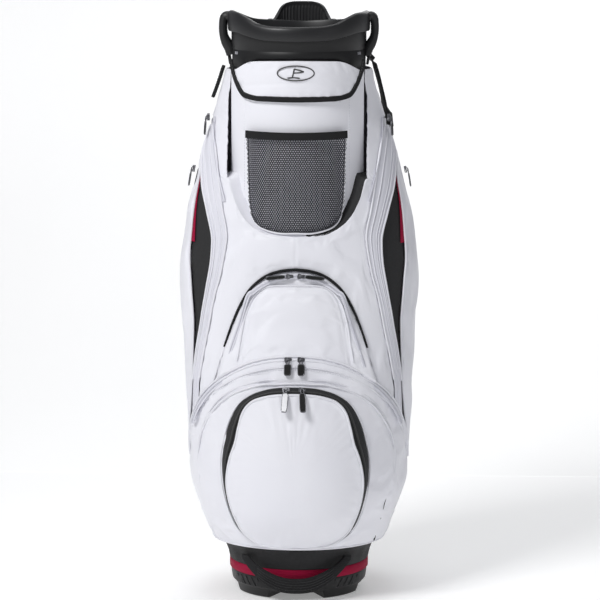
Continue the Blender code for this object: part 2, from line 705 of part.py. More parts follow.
def make_zips(finish, bag):
    down = Vector((0, 0, -1))
    upper = axis_empty("upper_zip_centre", bag, UPPER_TRACK[0])
    lower = axis_empty("lower_zip_centre", bag, LOWER_TRACK[0])
    ball = axis_empty("ball_zip_centre", bag, BALL_TRACK[0])
    for side, label in ((-1, "left"), (1, "right")):
        spot = track_frame(UPPER_TRACK, math.radians(5 * side))
        make_slider(f"upper_slider_{label}", finish, upper, bag, spot, Vector((side, 0, -0.1)),
                    SIDEWAYS_PULL, "rubber")
        spot = track_frame(LOWER_TRACK, math.radians(3.4 * side))
        make_slider(f"lower_slider_{label}", finish, lower, bag, spot, down,
                    WIDE_PULL, "rubber")
        spot = track_frame(BALL_TRACK, math.radians(5.8 * side))
        make_slider(f"ball_slider_{label}", finish, ball, bag, spot, down,
                    BALL_PULL, "steel" if side < 0 else "rubber")
        spot = straight_spot(SIDE_TRACK, side)
        start = axis_empty(f"side_zip_top_{label}", bag, spot[0])
        make_slider(f"side_slider_{label}", finish, start, bag, spot, down,
                    SLIM_PULL, "rubber")
        spot = straight_spot(REAR_TRACK, side)
        start = axis_empty(f"rear_zip_top_{label}", bag, spot[0])
        make_slider(f"rear_slider_{label}", finish, start, bag, spot, down,
                    SLIM_PULL, "rubber")


def main():
    clear_scene()
    finish = {
        "white_fabric": finish_material("white_fabric", (0.86, 0.86, 0.90), 0.65),
        "black_fabric": finish_material("black_fabric", (0.02, 0.02, 0.022), 0.8),
        "mesh": finish_material("pocket_mesh", (0.30, 0.30, 0.33), 0.8),
        "plastic": finish_material("black_plastic", (0.03, 0.03, 0.033), 0.5),
        "liner": finish_material("liner", (0.04, 0.04, 0.045), 0.7),
        "divider": finish_material("divider_fabric", (0.05, 0.05, 0.055), 0.85),
        "red": finish_material("red_band", (0.50, 0.005, 0.05), 0.6),
        "rubber": finish_material("black_rubber", (0.02, 0.02, 0.02), 0.6),
        "steel": finish_material("zip_steel", (0.62, 0.62, 0.64), 0.3, 1.0),
    }
    bag = bpy.data.objects.new("bag_axis", None)
    bpy.context.scene.collection.objects.link(bag)
    bag.location = (0, AXIS_Y, 0)
    bpy.context.view_layer.update()
    make_liner(finish, bag)
    make_dividers(finish, bag)
    make_putter_well(finish, bag)
    make_stay_rods(finish, bag)
    make_boot(finish, bag)
    make_base_trim(finish, bag)
    make_grab_handle(finish, bag)
    make_collar(finish, bag)
    make_side_handles(finish, bag)
    make_rear_cowl(finish, bag)
    make_top_front(finish, bag)
    make_mesh_pocket(finish, bag)
    make_front_pockets(finish, bag)
    make_ball_pocket(finish, bag)
    make_side_pockets(finish, bag)
    make_spine_pad(finish, bag)
    make_strap(finish, bag)
    make_glove_tab(finish, bag)
    make_zips(finish, bag)
    bpy.context.view_layer.update()


main()
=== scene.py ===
"""The looks of the golf cart bag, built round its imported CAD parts.

Metres, +Z up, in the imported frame: the front faces -Y and the liner's axis stands at y = AXIS_Y.
Soft panels are sheets on the same shell as the CAD solids. Angles round the bag are in degrees
from the front towards +X.
"""

import json
import math

import bpy
import numpy as np
from mathutils import Matrix, Vector


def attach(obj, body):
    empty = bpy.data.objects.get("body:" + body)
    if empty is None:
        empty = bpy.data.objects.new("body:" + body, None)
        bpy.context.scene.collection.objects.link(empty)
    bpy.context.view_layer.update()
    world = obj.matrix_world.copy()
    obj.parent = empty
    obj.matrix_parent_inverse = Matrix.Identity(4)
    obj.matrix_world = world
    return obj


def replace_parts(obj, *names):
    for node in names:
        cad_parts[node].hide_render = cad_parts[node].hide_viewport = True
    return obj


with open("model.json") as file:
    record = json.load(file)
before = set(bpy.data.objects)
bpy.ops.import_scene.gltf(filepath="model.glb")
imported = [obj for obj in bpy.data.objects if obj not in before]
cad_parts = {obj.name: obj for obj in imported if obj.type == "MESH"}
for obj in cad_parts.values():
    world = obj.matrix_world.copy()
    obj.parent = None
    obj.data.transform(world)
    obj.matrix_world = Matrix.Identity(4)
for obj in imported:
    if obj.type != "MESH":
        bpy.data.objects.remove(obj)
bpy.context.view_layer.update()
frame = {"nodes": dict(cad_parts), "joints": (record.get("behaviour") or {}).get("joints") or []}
AXIS_Y = 0.00655
AXIS = np.array([0.0, AXIS_Y, 0.0])
BODY = "bag"
SIDES = ((-1, "left"), (1, "right"))

# ---------------------------------------------------------------------------------------------
# The shell, as the CAD has it
# ---------------------------------------------------------------------------------------------

LIP_RADIUS = 0.1110
COLLAR_RADIUS = 0.1045
LINER_RADIUS = 0.100
BRIDGE_HALF_ANGLE = 64
BRIDGE_ARC = 0.1135       # the radius at which distances round the bridge are measured
BRIDGE_HEM = 0.0055       # how far above bridge_edge the bridge's own edge is
POCKET_BACK_ANGLE = 151
BACK_POWER = 2.3
HEM = 0.0875
TOP_SEAM = 0.8290
TUCK = 0.0140             # how far the panels above it run down behind the lower pocket


def smooth_curve(points):
    """A smooth function, with no overshoot, through (t, value) points; it takes arrays."""
    t, v = (np.array(column, float) for column in zip(*points))
    rise = np.diff(v) / np.diff(t)
    product = rise[:-1] * rise[1:]
    total = np.where(product > 0, rise[:-1] + rise[1:], 1.0)
    slope = np.concatenate([rise[:1], np.where(product > 0, 2 * product / total, 0.0), rise[-1:]])

    def read(x):
        x = np.clip(x, t[0], t[-1])
        k = np.clip(np.searchsorted(t, x, side="right") - 1, 0, len(t) - 2)
        span = t[k + 1] - t[k]
        s = (x - t[k]) / span
        start = (1 + 2 * s) * (1 - s) ** 2 * v[k] + s * (1 - s) ** 2 * span * slope[k]
        return start + s * s * (3 - 2 * s) * v[k + 1] - s * s * (1 - s) * span * slope[k + 1]

    return read


width_at = smooth_curve([(0.085, 0.136), (0.13, 0.152), (0.19, 0.171), (0.28, 0.1755),
                         (0.40, 0.181), (0.50, 0.187), (0.58, 0.1785), (0.69, 0.1545),
                         (0.78, 0.1265), (0.84, 0.1115)])
front_at = smooth_curve([(0.085, 0.128), (0.15, 0.152), (0.25, 0.163), (0.33, 0.162),
                         (0.388, 0.146), (0.44, 0.131), (0.53, 0.121), (0.60, 0.116),
                         (0.70, 0.112), (0.84, 0.109)])
back_at = smooth_curve([(0.085, 0.140), (0.15, 0.150), (0.50, 0.154), (0.75, 0.151), (0.84, 0.146)])
fullness_at = smooth_curve([(0.085, 2.1), (0.25, 2.25), (0.35, 2.1), (0.45, 2.15), (0.60, 1.9),
                            (0.75, 1.6), (0.84, 1.9)])
inner_zip = smooth_curve([(0.34, 60.3), (0.44, 55.2), (0.48, 53), (0.52, 50.2), (0.567, 49.2),
                          (0.618, 55), (0.666, 62.3), (0.707, 70.6), (0.7525, 88)])
gusset_front = smooth_curve([(0.29, 69), (0.353, 66.6), (0.437, 61.5), (0.494, 58.4), (0.53, 57.4),
                             (0.563, 58.4), (0.61, 65.6), (0.648, 74.7), (0.678, 81.8), (0.72, 93),
                             (0.75, 98)])
gusset_back = smooth_curve([(0.085, 102), (0.18, 102), (0.225, 87), (0.262, 77), (0.30, 71),
                            (0.353, 68), (0.4325, 67.6), (0.50, 70.3), (0.54, 74.1), (0.58, 76.3),
                            (0.623, 78.7), (0.66, 80.5), (0.70, 90), (0.74, 100), (0.80, 101)])
lower_arch = smooth_curve([(0, 0.3960), (12, 0.3935), (24, 0.3860), (38, 0.3665), (48, 0.3465),
                           (60, 0.3170), (70, 0.280), (78, 0.250), (86, 0.220), (100, 0.180)])
upper_arch = smooth_curve([(0, 0.5255), (8, 0.5240), (15, 0.5205), (21, 0.5145), (26, 0.5060),
                           (31, 0.4935), (36, 0.4710), (41, 0.4350), (44, 0.3970), (47, 0.350),
                           (49, 0.30)])
bridge_edge = smooth_curve([(0, 0.5725), (20, 0.576), (30, 0.584), (40, 0.602), (48, 0.630),
                            (55, 0.660), (66, 0.660)])
collar_edge = smooth_curve([(0, 0.8472), (35, 0.8455), (60, 0.8304), (180, 0.8304)])
lip_top = smooth_curve([(0, 0.8967), (20, 0.8975), (33, 0.9008), (47, 0.9100), (63, 0.9170),
                        (90, 0.9185), (110, 0.914), (140, 0.902), (180, 0.898)])
mesh_span = smooth_curve([(0.5805, 15), (0.585, 24), (0.592, 31), (0.605, 35.5), (0.63, 38),
                          (0.7255, 40)])
flap_span = smooth_curve([(0.7825, 34), (0.7850, 40), (0.7890, 45), (0.7950, 49), (0.8050, 53),
                          (0.830, 60), (0.846, 62)])


def hull_radius(angle, z):
    """The soft shell's outer radius: a superellipse at each height."""
    turn = np.radians(angle)
    front = np.cos(turn) > 0
    depth = np.where(front, front_at(z), back_at(z))
    power = np.where(front, fullness_at(z), BACK_POWER)
    across = np.abs(np.sin(turn)) / width_at(z)
    along = np.abs(np.cos(turn)) / depth
    return (across ** power + along ** power) ** (-1 / power)


def hull_angle(x, z):
    """The angle, in front of the widest place, at which the shell is x wide; x keeps its sign."""
    low, high = np.zeros(np.shape(x)), np.full(np.shape(x), 90.0)
    for _ in range(24):
        middle = (low + high) / 2
        inside = hull_radius(middle, z) * np.sin(np.radians(middle)) < np.abs(x)
        low, high = np.where(inside, middle, low), np.where(inside, high, middle)
    return np.copysign(low, x)


def back_of_shell(x, z):
    """The shell's y behind the axis, at this x and height."""
    share = np.minimum(1, np.abs(x) / width_at(z))
    return back_at(z) * (1 - share ** BACK_POWER) ** (1 / BACK_POWER) + AXIS_Y


def bridge_radius(angle):
    """The bridge panel's radius, which grows a little towards its sides."""
    return 0.1105 + 0.0045 * (np.asarray(angle) / 66) ** 2


def polar(radius, angle, z):
    """World points at a radius, angle and height about the liner's axis."""
    turn = np.radians(angle)
    x, y = radius * np.sin(turn), AXIS_Y - radius * np.cos(turn)
    return np.stack(np.broadcast_arrays(x, y, z), -1)


def tucked(radius, angle, z):
    """The radius with its part below the lower arch drawn in, behind the lower pocket."""
    under = lower_arch(np.abs(angle)) - z
    return radius - 0.016 * smooth_step(under, -0.0015, 0.010)


def smooth_step(x, low, high):
    """0 below low, 1 above high, and an S-shaped rise between."""
    s = np.clip((x - low) / (high - low), 0, 1)
    return s * s * (3 - 2 * s)


# ---------------------------------------------------------------------------------------------
# Mesh building
# ---------------------------------------------------------------------------------------------

SHARP_ANGLE = math.radians(50)
CASTING_SHARP_ANGLE = math.radians(32)


def plain_mesh(name, points, faces, material):
    """A smooth-shaded object in the scene."""
    mesh = bpy.data.meshes.new(name)
    mesh.from_pydata([tuple(p) for p in np.asarray(points, float).reshape(-1, 3)], [], faces)
    mesh.materials.append(material)
    mesh.shade_smooth()
    made = bpy.data.objects.new(name, mesh)
    bpy.context.scene.collection.objects.link(made)
    return made


def add_mesh(name, points, faces, uv, material, body=BODY):
    """A piece that rides on a body; its UVs are the cloth's own measures in metres."""
    piece = plain_mesh(name, points, faces, material)
    mesh = piece.data
    layer = mesh.uv_layers.new(name="cloth")
    corner = np.zeros(len(mesh.loops), np.int32)
    mesh.loops.foreach_get("vertex_index", corner)
    layer.data.foreach_set("uv", np.asarray(uv, np.float32).reshape(-1, 2)[corner].ravel())
    mesh.set_sharp_from_angle(angle=SHARP_ANGLE)
    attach(piece, body)
    return piece


def add_parts(name, parts, material, body=BODY):
    """One piece made of several parts, each its points, faces and UVs."""
    points, faces, uvs = [], [], []
    start = 0
    for part_points, part_faces, part_uv in parts:
        points.append(part_points)
        uvs.append(part_uv)
        faces += [tuple(start + k for k in face) for face in part_faces]
        start += len(part_points)
    return add_mesh(name, np.concatenate(points), faces, np.concatenate(uvs), material, body)


def grid_faces(rows, columns, wrap=False, flip=False):
    """Quads between the neighbouring points of a grid."""
    faces = []
    for j in range(rows - 1):
        for i in range(columns if wrap else columns - 1):
            a, b = j * columns + i, j * columns + (i + 1) % columns
            quad = (a, b, b + columns, a + columns)
            faces.append(tuple(reversed(quad)) if flip else quad)
    return faces


def tube_faces(rings, size, closed=False, flip=False):
    """Faces round rings of points, with the last ring joined to the first or both ends capped."""
    faces = grid_faces(rings, size, wrap=True, flip=True)
    last = (rings - 1) * size
    if closed:
        faces += [(last + (i + 1) % size, last + i, i, (i + 1) % size) for i in range(size)]
    else:
        faces += [tuple(range(size)), tuple(reversed(range(last, last + size)))]
    return [face[::-1] for face in faces] if flip else faces


def arc_lengths(points, axis=0):
    """Distances along a path or a grid of points, from its start."""
    steps = np.linalg.norm(np.diff(points, axis=axis), axis=-1)
    start = np.zeros_like(np.take(steps, [0], axis))
    return np.concatenate([start, np.cumsum(steps, axis)], axis)


def measured(grid):
    """UVs of a grid of points: how far along it each is, and how far up."""
    return np.stack([arc_lengths(grid, 1), arc_lengths(grid, 0)], -1)


def unit(vectors):
    """The vectors at a length of one."""
    return vectors / np.maximum(np.linalg.norm(vectors, axis=-1, keepdims=True), 1e-12)


def from_axis(path):
    """Level vectors from the liner's axis to the points of a path."""
    way = path - AXIS
    way[:, 2] = 0
    return way


def normals_of(points):
    """Unit normals of a grid of points, out of the bag when rows run up and columns to +X."""
    return unit(np.cross(np.gradient(points, axis=1), np.gradient(points, axis=0)))


def eased(count, bunch=0.7):
    """Values from 0 to 1 that stand closer together near both ends."""
    t = np.linspace(0, 1, count)
    return t - bunch * np.sin(2 * math.pi * t) / (2 * math.pi)


def rolled_edge(distance, depth, reach):
    """How far a panel dips as it rolls into a seam that is this far away."""
    share = np.clip(1 - distance / reach, 0, 1)
    return depth * (1 - np.sqrt(np.clip(1 - share ** 2, 0, 1)))


def wander(points, scale, seed):
    """A smooth, repeatable field of values from about -1 to 1 on points, with waves of that size."""
    waves = np.random.default_rng(seed)
    total = np.zeros(points.shape[:-1])
    for _ in range(7):
        way = waves.normal(size=3)
        way *= waves.uniform(0.6, 1.5) * 2 * math.pi / scale / np.linalg.norm(way)
        total += np.sin(points @ way + waves.uniform(0, 2 * math.pi))
    return total / 4


def solidify(piece, thickness):
    """Thickness on the inner side of a sheet."""
    thick = piece.modifiers.new("thickness", "SOLIDIFY")
    thick.thickness = thickness
    thick.offset = -1


PUCKER_PITCH = 0.0075
SETTLING = []             # pieces whose cloth is still to be simulated, with their limits


def settles(piece, seams, growth, push, most_out, most_in, hub=None):
    """Marks a sewn panel for the cloth simulation: its seams and the middle of a dome stay put."""
    SETTLING.append((piece, seams, growth, push, most_out, most_in, hub))


def panel(name, span, reach, radius, material, columns, rows, roll, wrinkle,
          roll_reach=0.007, pucker=0.0, thickness=0.0012, cloth=None, seams=None, body=BODY,
          replaces=()):
    """A sewn panel: span(z) and reach(angle) bound it and radius(angle, z) places it.

    cloth holds the limits of its simulation. seams(angle, z) is true where it is sewn down
    inside its border.
    """
    u, v = np.meshgrid(eased(columns), eased(rows))
    low, high = reach(np.zeros_like(u))
    z = low + (high - low) * v
    for _ in range(12):
        left, right = span(z)
        angle = left + (right - left) * u
        low, high = reach(angle)
        z = low + (high - low) * v
    base = polar(radius(angle, z), angle, z)
    along, up = arc_lengths(base, 1), arc_lengths(base, 0)
    edge = np.minimum.reduce([along, along[:, -1:] - along, up, up[-1:] - up])
    normal = normals_of(base)
    near = np.exp(-edge / 0.012) * smooth_step(edge, 0.0, 0.003)
    ripple = np.sin((along + up) / PUCKER_PITCH * 2 * math.pi + 2.2 * wander(base, 0.05, 5))
    lift = pucker * near * ripple - rolled_edge(edge, roll, roll_reach)
    lift = lift + wrinkle * smooth_step(edge, 0, 0.02) * wander(base, 0.07, len(name))
    points = base + normal * lift[..., None]
    piece = add_mesh(name, points, grid_faces(rows, columns), np.stack([along, up], -1),
                     material, body)
    if cloth:
        held = seams(angle, z) if seams else np.zeros(u.shape, bool)
        held[[0, -1]] = held[:, [0, -1]] = True
        settles(piece, np.flatnonzero(held), **cloth)
    solidify(piece, thickness)
    if replaces:
        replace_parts(piece, *replaces)


def through(points, count, closed=False):
    """count points along a smooth curve through the given ones, evenly spaced."""
    p = np.asarray(points, float)
    n = len(p)
    if closed:
        p = np.concatenate([p[-1:], p, p[:2]])
    else:
        p = np.concatenate([2 * p[:1] - p[1:2], p, 2 * p[-1:] - p[-2:-1]])
    fine = []
    for k in range(n if closed else n - 1):
        a, b, c, d = p[k:k + 4]
        s = np.linspace(0, 1, 24, endpoint=False)[:, None]
        fine.append(0.5 * (2 * b + (c - a) * s + (2 * a - 5 * b + 4 * c - d) * s ** 2
                           + (3 * b - a - 3 * c + d) * s ** 3))
    fine.append(p[1:2] if closed else p[n:n + 1])
    fine = np.concatenate(fine)
    length = arc_lengths(fine)
    want = np.linspace(0, length[-1], count, endpoint=not closed)
    return np.stack([np.interp(want, length, fine[:, k]) for k in range(p.shape[1])], -1)


def on_front(outline, offset=0.0, radius=hull_radius):
    """Points of an (x, z) outline on the front of the shell, this far out from it."""
    z = outline[..., 1]
    angle = hull_angle(outline[..., 0], z)
    return polar(radius(angle, z) + offset, angle, z)


def along_seam(line, first, last, count, side, offset):
    """Points at angle = line(z) for z from first to last, this far out from the shell."""
    z = np.linspace(first, last, count)
    angle = side * line(z)
    return polar(hull_radius(angle, z) + offset, angle, z)


def along_arch(drop, half, count, offset):
    """Points this far below the lower pocket's arch, and this far out from the pocket."""
    angle = np.linspace(-half, half, count)
    z = lower_arch(np.abs(angle)) - drop
    return polar(lower_radius(angle, z) + offset, angle, z)


def frames_along(path, outward=None, closed=False):
    """Tangent, side and outward unit vectors at each point of a path."""
    if closed:
        tangent = np.roll(path, -1, 0) - np.roll(path, 1, 0)
    else:
        tangent = np.gradient(path, axis=0)
    tangent = unit(tangent)
    if outward is None:
        outward = from_axis(path)
    side = unit(np.cross(tangent, np.broadcast_to(outward, path.shape)))
    return tangent, side, np.cross(side, tangent)


def sweep_parts(path, section, outward=None, closed=False, scale=(1, 1)):
    """Points, faces and UVs of a section of (side, out) points swept along a path.

    scale gives the section's width and thickness along the path.
    """
    _, side, out = frames_along(path, outward, closed)
    section = np.asarray(section, float)
    sizes = np.ones((len(path), 2)) * np.stack(np.broadcast_arrays(*scale), -1)
    rings = (path[:, None] + side[:, None] * (section[None, :, :1] * sizes[:, None, :1])
             + out[:, None] * (section[None, :, 1:] * sizes[:, None, 1:]))
    uv = np.stack(np.broadcast_arrays(arc_lengths(section)[None], arc_lengths(path)[:, None]), -1)
    return rings.reshape(-1, 3), tube_faces(len(path), len(section), closed), uv.reshape(-1, 2)


def block(points):
    """Four rings of four points, as a part."""
    return np.array(points).reshape(-1, 3), tube_faces(4, 4), np.zeros((16, 2))


def flat_section(width, thickness, corner=0.3):
    """A flat strip's section with rounded edges, as (side, out) points."""
    half, h = width / 2, thickness / 2
    r = min(h, width * corner)
    points = []
    for sx, sy, start in ((1, -1, -90), (1, 1, 0), (-1, 1, 90), (-1, -1, 180)):
        for step in range(4):                       # a quarter turn at each corner
            turn = math.radians(start + 30 * step)
            points.append((sx * (half - r) + r * math.cos(turn), sy * (h - r) + r * math.sin(turn)))
    return points


ROUND_SIDES = 8


def round_section(radius):
    """A round cord's section, as (side, out) points."""
    turns = [2 * math.pi * k / ROUND_SIDES for k in range(ROUND_SIDES)]
    return [(radius * math.cos(turn), radius * math.sin(turn)) for turn in turns]


def swept(name, paths, section, material, slot, body=BODY, **how):
    """One piece made of the same section swept along each path."""
    return add_parts(name, [sweep_parts(path, section, **how) for path in paths], material,
                     body)


STITCH_PITCH = 0.0042
STITCH_LENGTH = 0.0028
STITCH_HEIGHT = 0.00035


def stitches(name, paths, material, body=BODY, width=0.0006, outward=None):
    """Short raised stitches along paths."""
    parts = []
    for path in paths:
        total = arc_lengths(path)
        _, side, out = frames_along(path, outward)
        for start in np.arange(STITCH_PITCH, total[-1] - STITCH_PITCH, STITCH_PITCH):
            ends = []
            for share, size in ((0, 0.5), (0.3, 1), (0.7, 1), (1, 0.5)):
                at = start + share * STITCH_LENGTH
                p = np.array([np.interp(at, total, path[:, k]) for k in range(3)])
                k = min(int(np.searchsorted(total, at)), len(path) - 1)
                ends.append([p + side[k] * width * size * a + out[k] * STITCH_HEIGHT * size * b
                             for a, b in ((-0.5, -0.6), (0.5, -0.6), (0.35, 1), (-0.35, 1))])
            parts.append(block(ends))
    add_parts(name, parts, material, body)


# ---------------------------------------------------------------------------------------------
# Materials
# ---------------------------------------------------------------------------------------------

def shader_of(name, roughness, metallic=0.0, **constants):
    """A new material, its node tree and its shader; constants are the shader's other sockets."""
    made = bpy.data.materials.new(name)
    made.use_nodes = True
    tree = made.node_tree
    shader = tree.nodes["Principled BSDF"]
    shader.inputs["Roughness"].default_value = roughness
    shader.inputs["Metallic"].default_value = metallic
    for socket, value in constants.items():
        shader.inputs[socket.replace("_", " ")].default_value = value
    return made, tree, shader


def add_node(tree, kind, inputs=(), **settings):
    """A new node; an input's value is a socket to link from or a plain value."""
    made = tree.nodes.new(kind)
    for key, value in settings.items():
        setattr(made, key, value)
    for key, value in dict(inputs).items():
        if isinstance(value, bpy.types.NodeSocket):
            tree.links.new(value, made.inputs[key])
        else:
            made.inputs[key].default_value = value
    return made


def maths(tree, operation, a, b):
    return add_node(tree, "ShaderNodeMath", {0: a, 1: b}, operation=operation).outputs[0]


def object_noise(tree, scale, detail=3.0):
    place = add_node(tree, "ShaderNodeTexCoord").outputs["Object"]
    return add_node(tree, "ShaderNodeTexNoise", {"Vector": place, "Scale": scale,
                                                 "Detail": detail}).outputs["Fac"]


def cloth_wave(tree, pitch, direction):
    """A wave across the cloth, from its own lengthwise or crosswise measure in metres."""
    place = add_node(tree, "ShaderNodeUVMap", uv_map="cloth").outputs["UV"]
    return add_node(tree, "ShaderNodeTexWave", {"Vector": place, "Scale": 0.31416 / pitch},
                    bands_direction=direction).outputs["Fac"]


def shade(tree, shader, amount, dark, light):
    """Base colour running from dark to light with amount."""
    mix = add_node(tree, "ShaderNodeMix", {"Factor": amount}, data_type="RGBA")
    mix.inputs[6].default_value = (*dark, 1)
    mix.inputs[7].default_value = (*light, 1)
    tree.links.new(mix.outputs[2], shader.inputs["Base Color"])


def rough(tree, shader, amount, low, high):
    """Roughness running from low to high with amount."""
    span = add_node(tree, "ShaderNodeMapRange", {"Value": amount, "To Min": low, "To Max": high})
    tree.links.new(span.outputs[0], shader.inputs["Roughness"])


def bump(tree, shader, height, distance, strength):
    made = add_node(tree, "ShaderNodeBump", {"Height": height, "Distance": distance,
                                             "Strength": strength})
    tree.links.new(made.outputs[0], shader.inputs["Normal"])


def woven(name, dark, light, pitch, strength, roughness, sheen=0.15):
    """Plain-woven cloth: crossing threads, faint slubs and slightly uneven colour."""
    made, tree, shader = shader_of(name, roughness, Sheen_Weight=sheen, Sheen_Roughness=0.4)
    threads = maths(tree, "MAXIMUM", cloth_wave(tree, pitch, "X"), cloth_wave(tree, pitch, "Y"))
    slub = object_noise(tree, 240.0)
    broad = object_noise(tree, 7.0)
    tone = maths(tree, "MULTIPLY_ADD", broad, 0.7)
    tone.node.inputs[2].default_value = 0.1
    tone = maths(tree, "ADD", tone, maths(tree, "MULTIPLY", threads, 0.2))
    shade(tree, shader, tone, dark, light)
    rough(tree, shader, slub, roughness - 0.08, roughness + 0.08)
    bump(tree, shader, maths(tree, "ADD", threads, maths(tree, "MULTIPLY", slub, 0.8)),
         0.00018, strength)
    return made


def webbing(name, dark, light, pitch, strength=0.7):
    """Ribbed webbing: ribs across it and a herringbone hint along it."""
    made, tree, shader = shader_of(name, 0.75, Sheen_Weight=0.03, Sheen_Roughness=0.5,
                                   Specular_IOR_Level=0.22)
    ribs = cloth_wave(tree, pitch, "Y")
    twill = cloth_wave(tree, pitch * 1.3, "DIAGONAL")
    height = maths(tree, "ADD", ribs, maths(tree, "MULTIPLY", twill, 0.5))
    shade(tree, shader, maths(tree, "MULTIPLY", height, 0.6), dark, light)
    bump(tree, shader, height, 0.0003, strength)
    return made


def moulded(name, dark, light, grain, roughness, strength=0.25, specular=0.5):
    """Moulded plastic or rubber: fine grain, uneven gloss, and edges rubbed a little lighter."""
    made, tree, shader = shader_of(name, roughness, Specular_IOR_Level=specular)
    fine = object_noise(tree, grain, 4.0)
    broad = object_noise(tree, 11.0)
    edge = add_node(tree, "ShaderNodeNewGeometry").outputs["Pointiness"]
    worn = add_node(tree, "ShaderNodeMapRange", {"Value": edge, "From Min": 0.51,
                                                 "From Max": 0.60, "To Max": 0.8}).outputs[0]
    shade(tree, shader, maths(tree, "ADD", maths(tree, "MULTIPLY", broad, 0.45), worn), dark, light)
    rough(tree, shader, broad, roughness - 0.1, roughness + 0.1)
    bump(tree, shader, fine, 0.00012, strength)
    return made


def metal(name, dark, light, roughness, scratch):
    """Metal with fine scratches and uneven gloss."""
    made, tree, shader = shader_of(name, roughness, 1.0)
    fine = object_noise(tree, scratch, 5.0)
    shade(tree, shader, object_noise(tree, 60.0), dark, light)
    rough(tree, shader, fine, roughness - 0.08, roughness + 0.12)
    bump(tree, shader, fine, 0.00005, 0.2)
    return made


WHITE = woven("white_weave", (0.78, 0.78, 0.85), (0.89, 0.89, 0.93), 0.00075, 0.22, 0.5, 0.20)
# SHADED_WHITE is a darker, bluer copy of the white cloth: painted shade for the side bands and zip
# tapes that sit in shadow.
SHADED_WHITE = woven("white_painted_shade", (0.66, 0.66, 0.73), (0.78, 0.78, 0.84), 0.00075, 0.25, 0.55)
PIPING = woven("white_piping", (0.70, 0.70, 0.76), (0.86, 0.86, 0.90), 0.0012, 0.3, 0.5)
BLACK = woven("black_weave", (0.006, 0.006, 0.007), (0.017, 0.017, 0.018), 0.0009, 0.45, 0.75,
              0.06)
BINDING = webbing("black_binding", (0.007, 0.007, 0.008), (0.020, 0.020, 0.021), 0.0014)
WEBBING = webbing("black_webbing", (0.006, 0.006, 0.007), (0.022, 0.022, 0.023), 0.0022)
RED = webbing("red_webbing", (0.17, 0.000, 0.018), (0.50, 0.000, 0.055), 0.0013, 0.5)
NET = webbing("net_thread", (0.030, 0.030, 0.036), (0.085, 0.085, 0.098), 0.0009, 0.4)
LINING = woven("brushed_lining", (0.020, 0.020, 0.022), (0.050, 0.050, 0.055), 0.0016, 0.6, 0.9,
               0.5)
THREAD = woven("thread", (0.50, 0.50, 0.56), (0.72, 0.72, 0.78), 0.0006, 0.3, 0.6)
BLACK_THREAD = woven("black_thread", (0.02, 0.02, 0.02), (0.06, 0.06, 0.06), 0.0006, 0.3, 0.6)
PLASTIC = moulded("satin_plastic", (0.007, 0.007, 0.0075), (0.019, 0.019, 0.020), 850.0, 0.46,
                  0.3, 0.35)
GLOSS_PLASTIC = moulded("lip_plastic", (0.010, 0.010, 0.011), (0.024, 0.024, 0.026), 700.0, 0.40,
                        0.3, 0.45)
COWL_PLASTIC = moulded("cowl_plastic", (0.016, 0.016, 0.017), (0.036, 0.036, 0.038), 850.0, 0.5,
                       0.3, 0.4)
SHEETING = moulded("liner_sheet", (0.020, 0.020, 0.022), (0.050, 0.050, 0.054), 300.0, 0.6)
RUBBER = moulded("pull_rubber", (0.004, 0.004, 0.004), (0.012, 0.012, 0.012), 1200.0, 0.5, 0.4, 0.3)
STEEL = metal("zip_metal", (0.30, 0.30, 0.31), (0.52, 0.52, 0.54), 0.36, 500.0)
DARK_STEEL = metal("zip_gunmetal", (0.10, 0.10, 0.11), (0.30, 0.30, 0.32), 0.30, 500.0)
ROD = metal("stay_rod", (0.40, 0.40, 0.42), (0.62, 0.62, 0.64), 0.34, 300.0)


# ---------------------------------------------------------------------------------------------
# Fabric pieces
# ---------------------------------------------------------------------------------------------

def mirrored(side, low, high):
    """The same span of angles on one side of the bag."""
    return (low, high) if side > 0 else (-high, -low)


def tube(name, paths, radius, material=PIPING, slot="white_fabric", closed=False):
    swept(name, paths, round_section(radius), material, slot, closed=closed)


def make_bridge():
    """The stiff panel behind the flap, with its lower edge a long U."""
    seam_angle = 44.6

    def face(angle, z):
        crease = np.exp(-((np.abs(angle) - seam_angle) / 0.45) ** 2)
        beside = smooth_step(np.abs(angle), seam_angle - 0.6, seam_angle + 0.6)
        return bridge_radius(angle) - 0.0007 * crease + 0.0006 * beside

    panel("bridge", lambda z: (-BRIDGE_HALF_ANGLE, BRIDGE_HALF_ANGLE),
          lambda angle: (bridge_edge(np.abs(angle)) + BRIDGE_HEM, collar_edge(np.abs(angle)) - 0.0016),
          face, WHITE, 150, 70, roll=0.0012, roll_reach=0.004, wrinkle=0.0004,
          thickness=0.0014, replaces=["bridge_panel"])
    seams = [polar(bridge_radius(seam_angle) + 0.0005, side * (seam_angle + 1.1),
                   np.linspace(0.64, 0.800, 60)) for side in (-1, 1)]
    stitches("bridge_seam_stitches", seams, THREAD)
    angle = np.linspace(-60, 60, 150)
    low = bridge_edge(np.abs(angle)) + BRIDGE_HEM
    tube("bridge_piping", [polar(bridge_radius(angle) - 0.0004, angle, low)], 0.0017)
    inner = polar(bridge_radius(angle) + 0.0002, angle, low + 0.0065)
    stitches("bridge_hem_stitches", [inner], THREAD)


def make_underlay():
    """What closes the gap under the bridge: white cloth on the left; on the right a black sheet,
    partly real dark lining and partly painted shade of the gap.
    """
    share = np.linspace(0, 1, 14)[:, None]
    # The black right half is partly painted shade: the same gap is left white on the left.
    for low, high, name, finish, slot in ((-65.0, 8.0, "left", WHITE, "white_fabric"),
                                          (8.0, 65.0, "right", BLACK, "black_fabric")):
        angle = np.linspace(low, high, 80)[None]
        edge = bridge_edge(np.abs(angle))
        z = edge + 0.0120 - 0.0095 * share - 0.0020 * np.sin(math.pi * share)
        inner, outer = bridge_radius(angle) - 0.0016, hull_radius(angle, edge + 0.0025) - 0.0010
        rows = polar(inner + (outer - inner) * share, angle, z)
        loft = add_mesh(f"bridge_underlay_{name}", rows, grid_faces(*rows.shape[:2], flip=True),
                        measured(rows), finish)
        solidify(loft, 0.0010)


